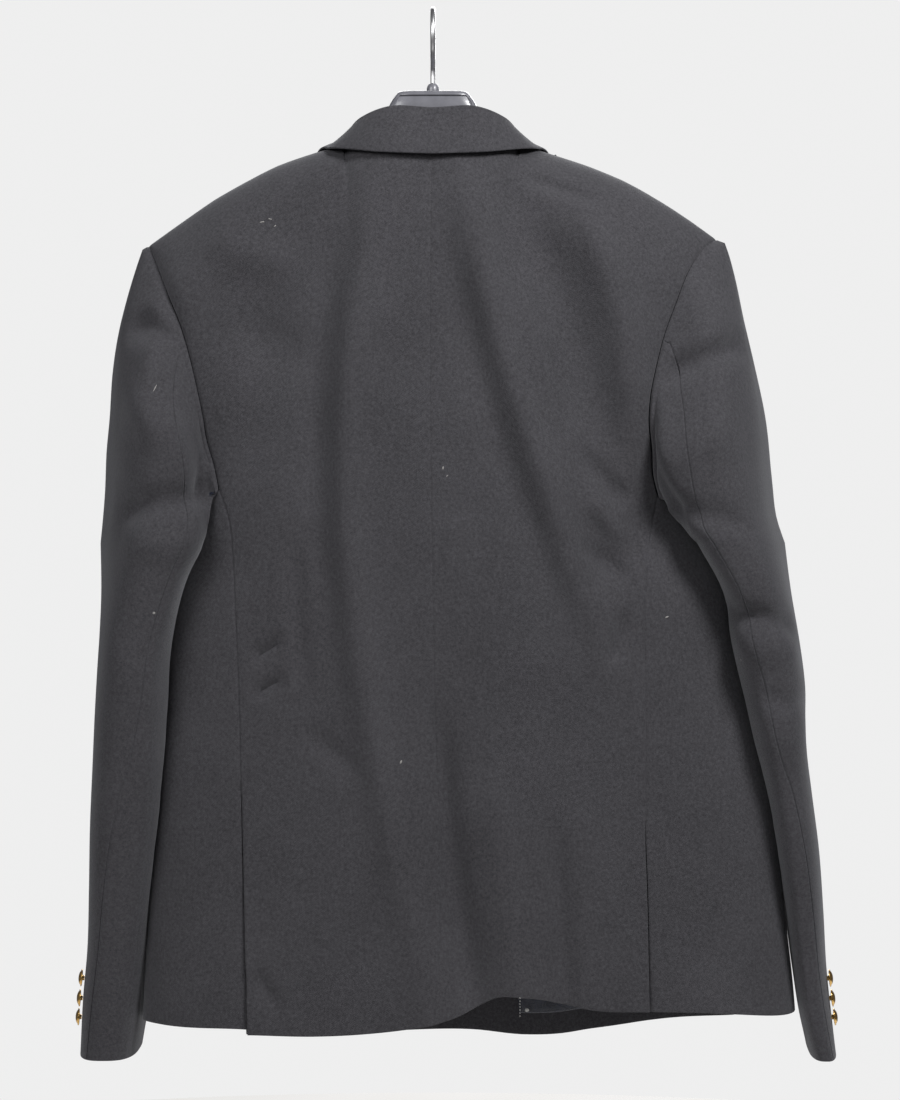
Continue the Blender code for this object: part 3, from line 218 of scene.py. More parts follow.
FOLD_ANGLES = np.linspace(-90, 90, 13)
LAPEL_COLUMNS = np.linspace(0, 1, 25)[1:]
COLLAR_LIFT = 3.8
COLLAR_MORE = 1.2  # more lift over the shoulder
COLLAR_TAPER = 2.2  # and less again at the edge
COLLAR_FRONT = 98.9  # from here out the collar's edge lies on the front
COLLAR_BACK = (25, 40)  # behind the middle, where the edge is pressed on to the back
COLLAR_PRESS = 4.0  # how far at most
COLLAR_EASE = 6  # how fast the corrections at the collar's end, the gorge and the peak fade
GORGE_EASE = 8
PEAK_EASE = 3

# Sleeves, below the rounding out of the armhole.
SLEEVES = {
    -1: np.array([
        # height, outer x, inner x, back y, front y, how far the back lies inwards
        (-847, 288.5, 242, -17, 106, 0),
        (-800, 286, 234, -20, 104, 0),
        (-760, 282, 229.5, -26, 102, 0),
        (-710, 280, 225, -34, 101, 0),
        (-660, 278.6, 219, -42, 101, 0),
        (-610, 277, 215.5, -48, 100, 2),
        (-560, 275.7, 213, -54, 98, 5),
        (-510, 273.8, 211, -60, 94, 9),
        (-470, 272, 203, -66, 90, 15),
        (-430, 271.5, 188, -70, 84, 20),
    ]),
    1: np.array([
        (-847, 331.5, 308, -20, 110, 4),
        (-815, 329, 300, -22, 109, 6),
        (-780, 325.5, 294, -26, 107, 7),
        (-730, 322, 287, -32, 105, 7),
        (-680, 317, 279, -40, 103, 6),
        (-630, 309.5, 269.5, -46, 101, 5),
        (-590, 304.3, 259, -50, 99, 5),
        (-545, 304, 249, -55, 97, 6),
        (-510, 300, 241, -59, 93, 8),
        (-470, 293.5, 235, -66, 90, 12),
        (-430, 287.5, 214, -70, 84, 18),
    ]),
}
SLEEVE_POWER = 2.9
SLEEVE_HEAD = {
    # the outline above those rows: height, distance from the centre
    -1: np.array([(-387, 270.3), (-355, 267.9), (-330, 264.6), (-289, 260.6), (-262, 256.1), (-232, 248.3),
                  (-203, 239.6), (-190, 235.2)]),
    1: np.array([(-411, 284.1), (-379, 279.2), (-330, 272.6), (-284, 261.6), (-248, 252.6), (-215, 245.2),
                 (-196, 240.2), (-184, 236)]),
}
HEAD_REACH = 4.0  # least way out from the armhole of a point that the outline is measured at
SLEEVE_CLEAR = 2.5  # from the body
CAP_ROWS = 7
SLEEVE_ROWS = 13
SEAM_TURN = 3.0  # how far the sleeve runs on from the body before it turns down
HIND_COLUMN = 7  # the grid line round the armhole that the seam at the sleeve's back starts from
FORE_COLUMN = 20
HIND_SEAM = np.array([(-847, 0.17), (-760, 0.19), (-560, 0.27), (-430, 0.29)])  # height, share of the round
FORE_SEAM = 0.68
SLEEVE_TIP = np.array((0.45, 0.0, 0.89))  # the way out of the cloth at the shoulder's end
SLEEVE_AWAY = 0.66  # the way in which a sleeve leaves the armhole: out and down alike
SLEEVE_SPREAD = 0.4  # and apart at its front and back
SLEEVE_EASE = 1.25  # how the cap's rows crowd towards the armhole
BELOW_CAP = 6.0  # how far below the cap the sleeve's own run is read
FOLD_GROWS = (0.08, 0.03)  # share of the round before a fold's end, and within it, over which it grows
SIDE_REACH = 62.0  # from the middle, where a sleeve can meet the body's side
SIDE_DOWN = (372, 398)  # below the origin, where it starts to keep clear of it
SLEEVE_FOLDS = {
    # share of round, height, share of round, height, half width, out
    -1: np.array([(0.08, -256, 0.3, -272, 11, -7.5), (0.12, -326, 0.28, -352, 22, 8.0),
                  (0.1, -404, 0.35, -390, 12, -10.0), (0.16, -432, 0.42, -436, 12, 4.0),
                  (0.14, -520, 0.3, -540, 26, 3.5)]),
    1: np.array([(0.06, -272, 0.32, -306, 9, -9.0), (0.16, -340, 0.34, -368, 22, 8.0),
                 (0.2, -412, 0.38, -400, 10, -6.0), (0.12, -494, 0.38, -484, 9, -8.0),
                 (0.14, -518, 0.36, -512, 14, 5.0), (0.1, -560, 0.26, -554, 8, -4.0),
                 (0.1, -586, 0.3, -580, 22, 3.5)]),
}

# Vents, lining, buttons.
VENT_TOP = {-1: -606.0, 1: -636.0}
VENT_STEP = {-1: 4.0, 1: 0.0}  # how far the side piece ends above the back at the vent
VENT_COLUMNS = 2
LINING_EDGE = 72.0
LINING_HEM = 16.0
CUFF_BUTTON = 14.0
CUFF_BUTTON_SHARE = 0.075  # of the way round the sleeve
BUTTON_GAP = 0.5
CUFF_BUTTON_HEIGHTS = (-783.0, -799.5, -815.0)
FRONT_BUTTON = 20.0
FRONT_BUTTONS = ((-1, 1, 58, -636), (-1, 2, 58, -540), (-1, 3, 84, -444),
                 (1, 1, 58, -636), (1, 2, 58, -540), (1, 3, 84, -444))  # side, row, distance, height
TOP_ROW = 3
SLOPE_SHARE = 0.01  # of the round, over which a cuff's slope is read
SLOPE_HEIGHT = 5.0

# Hanger.
HOOK_WIRE = 2.0  # radius
HOOK_RADIUS = 20.0
HOOK_FOOT = -57.8
HOOK_STEM = ((0, 0, HOOK_FOOT), (0, 0, -53), (0, 0, -48), (0, -0.8, -45.5), (0, -3, -43.5))
HOOK_TURN = (235, -46, -5)  # degrees from, to and step
NECK_TOP = -65.4
NECK_BLOCK = np.array([(-118, 40, 15), (-88, 38, 16), (-75, 34.5, 15.5), (NECK_TOP, 28, 13)])  # z, half x, y
ARM_CLEAR = 0.45
ARM_SIDE_CLEAR = 0.9
ARMS = np.array([
    # x, half depth, height
    (-212, 9, 9), (-205, 14, 14), (-185, 18, 19), (-150, 18, 21), (-110, 16, 22), (-78, 14, 22),
    (-55, 13, 24), (-30, 12, 25), (0, 12, 25), (30, 12, 25), (55, 13, 24), (78, 14, 22),
    (110, 16, 22), (150, 18, 21), (185, 18, 19), (204, 14, 14), (211, 9, 9),
])
ARM_NECK_TOP = -108.0

# Rims and pressed seams: distance from the edge, and how far the outer and the inner face draw in,
# as shares of the wall.
STYLES = {
    "plain": np.array([(0.0, 0.0, 0.0)]),
    "rim": np.array([(0, 0.46, 0.46), (0.08, 0.28, 0.28), (0.25, 0.14, 0.14), (0.5, 0.04, 0.04),
                     (0.85, 0, 0)]),
    "seam": np.array([(0, 0.5, 0), (0.5, 0.34, 0), (1.1, 0.18, 0), (1.9, 0.06, 0), (3.0, 0, 0)]),
    "faint": np.array([(0, 0.3, 0), (0.5, 0.2, 0), (1.1, 0.1, 0), (2.4, 0, 0)]),
    "deep": np.array([(0, 0.6, 0), (0.8, 0.42, 0), (1.7, 0.22, 0), (2.8, 0.08, 0), (4.2, 0, 0)]),
}
SEWN = -0.05  # what each of two sewn pieces draws back from their seam, and below 0 laps over it
ARMHOLE_SEWN = -0.3  # the sleeve's edge
FRONT_SEWN = -0.7  # the front's edge at the side and the armhole
SHARP = 50  # degrees
HEM_BAND = 20.0  # the hem's turned-up cloth that shows inside
CUFF_BAND = 30.0
FACING = 60.0  # half width of the fronts' cloth facings together
FACING_MIDDLE = 14.0
FRONT_HEM = -820.0
UNLINED = 1e6  # a height that no cloth reaches
VENT_FLARE = 3.0  # how far the back's edge stands off at the hem
VENT_OPEN = 1.1  # how far the back's edge draws back along a vent
VENT_FULL = (180, 40)  # how far below its top the flare and the opening are full
VENT_EASE = 9  # how fast both fade away from the vent
COLLAR_STAND = 2.2  # from the back to the outer face of the collar's edge
SPECK_ROUND = 8
SPECK_HEIGHT = 0.25
SPECK_LEVELS = ((0.0, 1.0), (0.6, 0.75), (1.0, 0.0))  # shares of the height and of the size
LINT = (
    # photograph's column and row, length, width, turn in degrees
    (401, 762, 3.4, 1.6, 60), (443, 468, 3.0, 1.3, 80), (667, 617, 3.4, 1.3, 20), (154, 613, 2.2, 2.0, 0),
    (262, 222, 4.5, 1.1, 10), (270, 219, 3.4, 1.0, -12), (275, 226, 2.4, 1.0, 40), (155, 388, 8.0, 0.8, 66),
    (833, 1050, 2.2, 1.4, 30), (447, 476, 2.0, 0.8, 50), (741, 660, 1.8, 1.0, 70),
)
STITCHES = tuple((520, row, 1.5, 0.9, 90) for row in range(998, 1018, 3)) + ((527, 1010, 3.6, 3.0, 0),)
BUTTON_ROUND = 40
# Share of the radius and of the size, from the top down.
FINE_BUTTON = np.array([
    (0, 0.34), (0.16, 0.337), (0.32, 0.328), (0.47, 0.311), (0.6, 0.287), (0.72, 0.255), (0.79, 0.228),
    (0.815, 0.205), (0.84, 0.196), (0.9, 0.205), (0.96, 0.2), (1.0, 0.175), (0.99, 0.15), (0.93, 0.135),
    (0.8, 0.125), (0.5, 0.118), (0.3, 0.1), (0.28, 0.05), (0.28, 0.0), (0, 0.0),
])
FINE_FERRULE = np.array([
    (0, -58.1), (2.2, -58.15), (3.3, -58.4), (3.9, -59), (4.4, -60.1), (4.9, -61.4), (5.15, -63),
    (5.2, -64.9), (0, -64.9),
])
ARM_STATIONS = 81
ARM_TOP_POINTS = 15
ARM_LOW_POINTS = 9
ARM_CLOTH = 1.1  # room for the cloth over an arm, in walls
ARM_SIDE = 4.0  # from the middle of an arm's top, where its room is larger by ARM_SIDE_CLEAR
ARM_FORWARD = 8.0  # how far forwards that room doubles
ARM_RIM = 0.3  # how far the rims of the top are rounded down, as a share of the height
ARM_RIM_POWER = 8
ARM_LOW_WIDTH = 0.98
ARM_BELLY = (0.45, 0.55, 0.6)  # the underside's side and middle as shares of the height, and its power
NECK_ROUND = 96
NECK_RIM = 3.2
NECK_RECESS = 1.8
NECK_STEP = 1.6  # over which the recess starts
NECK_ROUNDING = 2.4
NECK_STATIONS = 44
NECK_LAST = np.array((1.6, 0.9, 0.35, 0))  # the last sections, from the top down
NECK_SQUARE = 0.4  # the power of a section, square at 0

WOOL_COLOURS = ((0.0215, 0.0205, 0.0235), (0.054, 0.0525, 0.0585))
WOOL_SHEEN = 0.14
TWILL_PITCH = 0.0012
SATIN_COLOURS = ((0.012, 0.014, 0.024), (0.03, 0.034, 0.055))
GOLD_COLOURS = ((0.62, 0.36, 0.1), (0.9, 0.6, 0.22))
PLASTIC_COLOURS = ((0.11, 0.11, 0.125), (0.17, 0.17, 0.19))
STEEL_COLOURS = ((0.55, 0.55, 0.56), (0.68, 0.68, 0.69))
THREAD_COLOURS = ((0.45, 0.45, 0.45), (0.65, 0.65, 0.62))
LINT_COLOURS = ((0.14, 0.135, 0.13), (0.3, 0.29, 0.28))
FLOOR_COLOURS = ((0.8, 0.79, 0.77), (0.84, 0.83, 0.82))

# The photograph's camera, level and straight behind.
CAMERA_X = 13.8
CAMERA_Z = -435.8
CAMERA_DISTANCE = 2400.0
SENSOR = 36.0
VIEW_HEIGHT = 891.0  # what it sees at the origin's depth
FLOOR_RADIUS = 1.5
FLOOR_HEIGHT = -1.15
BACKDROP = (0.86, 0.86, 0.86)
PHOTO_SIZE = (900, 1100)
AMBIENT = (0.1, 0.1, 0.105)
LIGHTS = (
    # name, place, aim, size, power
    ("key", (0.85, -1.05, 0.75), (0.05, 0, -0.3), (0.5, 0.5), 33),
    ("fill", (-0.95, -1.3, 0.5), (0, 0, -0.35), (0.9, 0.9), 18),
    ("front", (0.4, 2.4, 0.9), (0, 0, -0.4), (2.0, 1.6), 60),
)


def smooth(keys, values, at):
    """A smooth curve through a table's rows, read at the places given."""
    keys = np.asarray(keys, float)
    values = np.asarray(values, float)
    slopes = np.gradient(values, keys, axis=0)
    at = np.clip(np.asarray(at, float), keys[0], keys[-1])
    i = np.clip(np.searchsorted(keys, at) - 1, 0, len(keys) - 2)
    span = keys[i + 1] - keys[i]
    s = (at - keys[i]) / span
    if values.ndim > 1:
        s = s[..., None]
        span = span[..., None]
    start = (1 + 2 * s) * (1 - s) ** 2 * values[i] + s * (1 - s) ** 2 * span * slopes[i]
    return start + s * s * (3 - 2 * s) * values[i + 1] - s * s * (1 - s) * span * slopes[i + 1]


def ramp(value, low, high):
    """From 0 at low to 1 at high, with soft ends."""
    s = np.clip((value - low) / (high - low), 0, 1)
    return s * s * (3 - 2 * s)


def unit(vectors):
    return vectors / np.maximum(np.linalg.norm(vectors, axis=-1, keepdims=True), 1e-9)


def along(points, shares):
    """The points at these shares of a line's length."""
    steps = np.linalg.norm(np.diff(points[:, :3], axis=0), axis=1)
    keys = np.concatenate([[0], np.cumsum(steps)]) / steps.sum()
    columns = [np.interp(shares, keys, points[:, k]) for k in range(points.shape[1])]
    return np.stack(columns, axis=-1)


def dense(points, count=DENSE):
    """Even steps along a smooth line through the points."""
    points = np.asarray(points, float)
    steps = np.linalg.norm(np.diff(points, axis=0), axis=1)
    keys = np.concatenate([[0], np.cumsum(steps)])
    fine = smooth(keys, points, np.linspace(0, keys[-1], 4 * count))
    return along(fine, np.linspace(0, 1, count))


def ring_at(z):
    """Centre x, half width, back depth and front depth of the garment at a height."""
    rows = smooth(RINGS[:, 0], RINGS[:, 1:], z)
    return rows[..., 0], rows[..., 1], RING_Y - rows[..., 2], rows[..., 3] - RING_Y


def ridge_height(x):
    return smooth(RIDGE[:, 0], RIDGE[:, 1], x)


def rounded(share):
    """How far a ring reaches across, at this share of its other half side."""
    return (1 - np.clip(np.abs(share), 0, 0.9999) ** RING_POWER) ** (1 / RING_POWER)


def dome(x, z, drop):
    s = np.clip((ridge_height(x) - z) / drop, 0, 1)
    return np.sqrt(1 - (1 - s) ** 2)


def folds(table, x, z):
    """The height of the soft folds over a panel's plain form."""
    places = np.stack(np.broadcast_arrays(x, z), axis=-1).astype(float)[..., None, :]
    total = np.zeros(places.shape[:-2])
    for x1, z1, x2, z2, x3, z3, width, height in table:
        line = smooth((0, 0.5, 1), ((x1, z1), (x2, z2), (x3, z3)), np.linspace(0, 1, FOLD_STEPS + 1))
        runs = np.diff(line, axis=0)
        reach = places - line[:-1]
        share = np.clip((reach * runs).sum(axis=-1) / (runs * runs).sum(axis=-1), 0, 1)
        gaps = ((reach - share[..., None] * runs) ** 2).sum(axis=-1)
        nearest = gaps.argmin(axis=-1)[..., None]
        gap = np.take_along_axis(gaps, nearest, axis=-1)[..., 0]
        place = (nearest + np.take_along_axis(share, nearest, axis=-1))[..., 0] / FOLD_STEPS
        ends = ramp(place, 0, FOLD_END) * (1 - ramp(place, 1 - FOLD_END, 1))
        total += height * ends * np.exp(-gap / width**2)
    return total


def back_y(x, z):
    centre, half, back, _ = ring_at(z)
    settle = ramp(ridge_height(x) - z, *SETTLED)
    depth = back * rounded((x - centre) / half) * dome(x, z, DOME_BACK)
    middle = RIDGE_Y + (RING_Y - RIDGE_Y) * settle
    return middle - depth - folds(BACK_FOLDS, x, z) * settle


def front_y(x, z, side=-1):
    centre, half, _, front = ring_at(z)
    settle = ramp(ridge_height(x) - z, *SETTLED)
    depth = front * rounded((x - centre) / half) * dome(x, z, DOME_FRONT)
    middle = RIDGE_Y + (RING_Y - RIDGE_Y) * settle
    y = middle + depth + folds(FRONT_FOLDS, x, z) * settle
    if side > 0:
        y = y - UNDER_FRONT * (1 - ramp(np.abs(x - centre), *UNDER_ACROSS)) * ramp(-z, *UNDER_DOWN)
    return y


def front_of(side):
    """The surface of one front."""
    return lambda x, z: front_y(x, z, side)


def side_x(y, z, side):
    centre, half, back, front = ring_at(z)
    share = (y - RING_Y) / np.where(y < RING_Y, back, front)
    return centre + side * half * rounded(share)


def normals_of(surface, x, z):
    """The unit normals, facing out, of a cloth whose y is a function of x and z."""
    step = 0.5
    y = surface(x, z)
    slope_x = (surface(x + step, z) - surface(x - step, z)) / (2 * step)
    slope_z = (surface(x, z + step) - surface(x, z - step)) / (2 * step)
    away = np.where(np.mean(y) > RING_Y, 1.0, -1.0)
    return unit(np.stack([-slope_x * away, np.full_like(slope_x, away), -slope_z * away], axis=-1))


def lifted(surface, x, z, lift):
    """Points on a cloth, moved out from its outer face, or in where lift is negative."""
    x = np.asarray(x, float)
    z = np.asarray(z, float)
    points = np.stack([x, surface(x, z), z], axis=-1)
    return points + normals_of(surface, x, z) * np.asarray(lift)[..., None]


def laid(plan, surface):
    """A line drawn by its x and height, laid on a cloth. The last column holds no offset."""
    fine = dense(plan)
    points = np.stack([fine[:, 0], surface(fine[:, 0], fine[:, 1]), fine[:, 1]], axis=1)
    return along(points, np.linspace(0, 1, DENSE))


def laid_side(plan, side):
    """A line drawn by its y and height, laid on the garment's side."""
    fine = dense(plan)
    points = np.stack([side_x(fine[:, 0], fine[:, 1], side), fine[:, 0], fine[:, 1]], axis=1)
    return along(points, np.linspace(0, 1, DENSE))


def nodes(*runs):
    """The points where grid lines meet an edge, from runs of a line, its steps and how they crowd."""
    found = []
    for line, steps, crowd in runs:
        share = np.linspace(0, 1, FINE * steps + 1)
        share = 1 - (1 - share) ** crowd if crowd >= 1 else share ** (1 / crowd)
        found.append(along(line, share))
    return np.concatenate([found[0]] + [run[1:] for run in found[1:]])


def shares_of(first, second):
    """How far along each grid line lies, as the mean of two opposite edges."""
    both = 0
    for edge in (first, second):
        steps = np.linalg.norm(np.diff(edge, axis=0), axis=1)
        both = both + np.concatenate([[0], np.cumsum(steps)]) / steps.sum() / 2
    return both


def filled(bottom, top, inner, outer):
    """A patch between four edges, with its rows from bottom to top and its columns from inner to outer."""
    u = shares_of(bottom, top)[None, :, None]
    v = shares_of(inner, outer)[:, None, None]
    corners = (1 - u) * ((1 - v) * bottom[0] + v * top[0]) + u * ((1 - v) * bottom[-1] + v * top[-1])
    ruled = (1 - v) * bottom[None] + v * top[None] + (1 - u) * inner[:, None] + u * outer[:, None]
    return ruled - corners


def cloth_grid(edges, surface, across=0):
    """A panel whose depth is a surface's, corrected near its four edges to pass through them.

    across is the axis that the surface is read along with the height: 0 for a back or front, 1 for a side.
    """
    depth = 1 - across
    grid = filled(*edges)
    grid[..., depth] = surface(grid[..., across], grid[..., 2])
    bottom, top, inner, outer = (edge[:, depth] - surface(edge[:, across], edge[:, 2]) for edge in edges)
    u = shares_of(*edges[:2])[None, :]
    v = shares_of(*edges[2:])[:, None]
    low, high, near, far = (1 - v) ** EASE, v ** EASE, (1 - u) ** EASE, u ** EASE
    weights = np.exp(-(((u - u.T) / EVEN_REACH) ** 2))
    even = weights @ top / weights.sum(axis=1)
    top = even + (top - even) * v**EVEN_EASE
    off = low * bottom + high * top + near * inner[:, None] + far * outer[:, None]
    off -= near * (low * bottom[0] + high * top[:, :1]) + far * (low * bottom[-1] + high * top[:, -1:])
    grid[..., depth] += off
    return grid


def drawn_in(grid, bottom=0.0, top=0.0, inner=0.0, outer=0.0):
    """The grid with each edge moved in by its half of a seam's gap."""
    made = grid.copy()
    made[0] += bottom * unit(grid[1] - grid[0])
    made[-1] += top * unit(grid[-2] - grid[-1])
    made[:, 0] += inner * unit(grid[:, 1] - grid[:, 0])
    made[:, -1] += outer * unit(grid[:, -2] - grid[:, -1])
    return made


def ended_at(line, point, share, last=True):
    """A line eased over the share of its length next to one end, so that it ends at a point."""
    place = np.linspace(0, 1, len(line))
    weight = ramp(place, 1 - share, 1) if last else 1 - ramp(place, 0, share)
    off = point - (line[-1] if last else line[0])
    return line + off * weight[:, None]


def seams_of(side):
    """Every line that the pieces of one side share, from low to high or from the centre out."""
    mirror = np.array((side, 1, 1))
    front_cloth = front_of(side)
    side_back = laid(SIDE_BACK[side], back_y)
    side_front = laid_side(SIDE_FRONT, side)
    tip = np.array((RIDGE[0, 0], RIDGE_Y, RIDGE[0, 1]) if side < 0 else (RIDGE[-1, 0], RIDGE_Y, RIDGE[-1, 1]))
    arm_back = ended_at(laid(ARMHOLE_BACK[side], back_y), tip, 0.1)
    plan = (ARMHOLE_FRONT[::-1] * np.array((side, 1))).astype(float)
    plan[0] = side_front[-1, [0, 2]]
    plan[-1] = tip[[0, 2]]
    arm_front = ended_at(laid(plan, front_cloth), side_front[-1], 0.2, last=False)
    arm_front = ended_at(arm_front, tip, 0.12)
    under_plan = np.vstack([(side_back[-1, 1:]), UNDERARM, (side_front[-1, 1:])])
    underarm = ended_at(laid_side(under_plan, side), side_back[-1], 0.3, last=False)
    shoulder = RIDGE[RIDGE[:, 0] * side > NECK_POINT][::side]
    shoulder = dense(np.column_stack([shoulder[:, 0], np.full(len(shoulder), RIDGE_Y), shoulder[:, 1]]))
    hem_front = laid(np.vstack([HEM_FRONT[side], side_front[0, [0, 2]]]), front_cloth)
    hem_front = ended_at(hem_front, side_front[0], 0.2)
    hem_plan = np.column_stack([(side_back[0, 1], -30, 10, side_front[0, 1]), SIDE_HEM[side]])
    hem_side = ended_at(laid_side(hem_plan, side), side_back[0], 0.3, last=False)
    hem_side = ended_at(hem_side, side_front[0], 0.2)
    break_point = np.array((ring_at(np.array(BREAK_HEIGHT))[0] - side * FRONT_LAP, BREAK_HEIGHT))
    edge_x = (HEM_FRONT[side][0, 0] + break_point[0]) / 2
    front_edge = laid(np.array([HEM_FRONT[side][0], (edge_x, -680), break_point]), front_cloth)
    roll = laid(np.array([break_point, GORGE_START * np.array((side, 1))]), front_cloth)
    neck_side = ended_at(dense(NECK_SIDE[::-1] * mirror), roll[-1], 0.8, last=False)
    neck_back = dense((COLLAR_ROWS[:4, :3] + np.array((0, 0, -SEAM_GAP))) * mirror)
    neck_back = ended_at(neck_back, shoulder[0], 0.3)
    hem_back = laid(HEM_BACK_LEFT if side < 0 else HEM_BACK_RIGHT, back_y)
    centre = laid(CENTRE_BACK, back_y)
    neck_back = ended_at(neck_back, (centre[-1] + neck_back[0]) / 2 * np.array((0, 1, 1)), 0.6, last=False)
    centre = ended_at(centre, neck_back[0], 0.05)
    return {
        "side_back": side_back, "arm_back": arm_back, "side_front": side_front, "arm_front": arm_front,
        "underarm": underarm, "shoulder": shoulder, "hem_front": hem_front, "hem_side": hem_side,
        "front_edge": front_edge, "roll": roll, "neck_side": neck_side, "neck_back": neck_back,
        "hem_back": hem_back, "centre": centre,
    }


def body_grids(side, line):
    """The back, side and front of one side, as grids that share their points along every seam."""
    side_back = nodes((line["side_back"], SIDE_ROWS, 1))
    arm_back = nodes((line["arm_back"], ARM_BACK_ROWS, ARM_CROWD))
    side_front = nodes((line["side_front"], SIDE_ROWS, 1))
    arm_front = nodes((line["arm_front"], ARM_FRONT_ROWS, ARM_CROWD))
    shoulder = nodes((line["shoulder"], SHOULDER_COLUMNS, 1))
    centre = nodes((line["centre"], SIDE_ROWS + ARM_BACK_ROWS, BACK_CROWD))
    hem = nodes((line["hem_back"], NECK_COLUMNS + SHOULDER_COLUMNS, 1))
    neck = nodes((line["neck_back"], NECK_COLUMNS, 1))
    outer = np.vstack([side_back, arm_back[1:]])
    back = cloth_grid((hem, np.vstack([neck, shoulder[1:]]), centre, outer), back_y)

    inner = side_back.copy()
    inner[0] += VENT_STEP[side] * unit(inner[1] - inner[0])
    hem = ended_at(nodes((line["hem_side"], SIDE_COLUMNS, 1)), inner[0], 0.4, last=False)
    under = nodes((line["underarm"], SIDE_COLUMNS, 1))
    piece = cloth_grid((hem, under, inner, side_front), lambda y, z: side_x(y, z, side), across=1)

    roll_rows = SIDE_ROWS + ARM_FRONT_ROWS - EDGE_ROWS - NECK_ROWS
    inner = nodes((line["front_edge"], EDGE_ROWS, 1), (line["roll"], roll_rows, 1),
                  (line["neck_side"], NECK_ROWS, 1))
    hem = nodes((line["hem_front"], SHOULDER_COLUMNS, FRONT_CROWD))
    outer = np.vstack([side_front, arm_front[1:]])
    front = cloth_grid((hem, shoulder, inner, outer), front_of(side))
    return {"back": back, "side": piece, "front": front}


def grid_normals(grid, side):
    """The outward normals of a grid whose rows run up and whose columns run away from the centre."""
    across = np.gradient(grid, axis=1)
    up = np.gradient(grid, axis=0)
    found = unit(np.cross(across, up)) * side
    return found * np.where(found[..., 1:2].mean() * (grid[..., 1:2].mean() - RING_Y) < 0, -1, 1)


def shoulder_height(x, y):
    """The height of the garment's top over a point."""
    centre, half, back, front = ring_at(ridge_height(x) - RIDGE_RING)
    across = np.maximum(rounded((x - centre) / half), RIDGE_LEAST)
    behind = y < RIDGE_Y
    depth = np.where(behind, back, front) * across
    share = np.clip(np.abs(y - RIDGE_Y) / depth, 0, 0.999)
    drop = np.where(behind, DOME_BACK, DOME_FRONT)
    return ridge_height(x) - drop * (1 - np.sqrt(1 - share**2))


def ring_points(side, z, share):
    """Points round a sleeve at a height. share 0 faces out, 0.25 back and 0.5 the body."""
    table = SLEEVES[side]
    outer, inner, back, front, lean = smooth(table[:, 0], table[:, 1:], z).T
    angle = 2 * math.pi * share
    cosine, sine = np.cos(angle), np.sin(angle)
    reach_x = np.sign(cosine) * np.abs(cosine) ** (2 / SLEEVE_POWER)
    reach_y = np.sign(sine) * np.abs(sine) ** (2 / SLEEVE_POWER)
    half = np.sqrt(((outer - inner) / 2) ** 2 - lean**2)
    x = (outer + inner) / 2 + half * reach_x - lean * reach_y
    y = (back + front) / 2 - (front - back) / 2 * reach_y
    return np.stack([side * x, y, np.broadcast_to(z, x.shape)], axis=-1)


def clear_of_body(points, side, clearance):
    """Moves points out past the body's side, where they would be nearer to it than the clearance."""
    limit = side * side_x(points[..., 1], points[..., 2], side) + clearance
    within = np.abs(points[..., 1] - RING_Y) < SIDE_REACH
    low = ramp(-points[..., 2], *SIDE_DOWN)
    found = side * points[..., 0]
    lifted_x = np.where(within, np.maximum(found, limit), found)
    made = points.copy()
    made[..., 0] = side * (found + (lifted_x - found) * low)
    return made


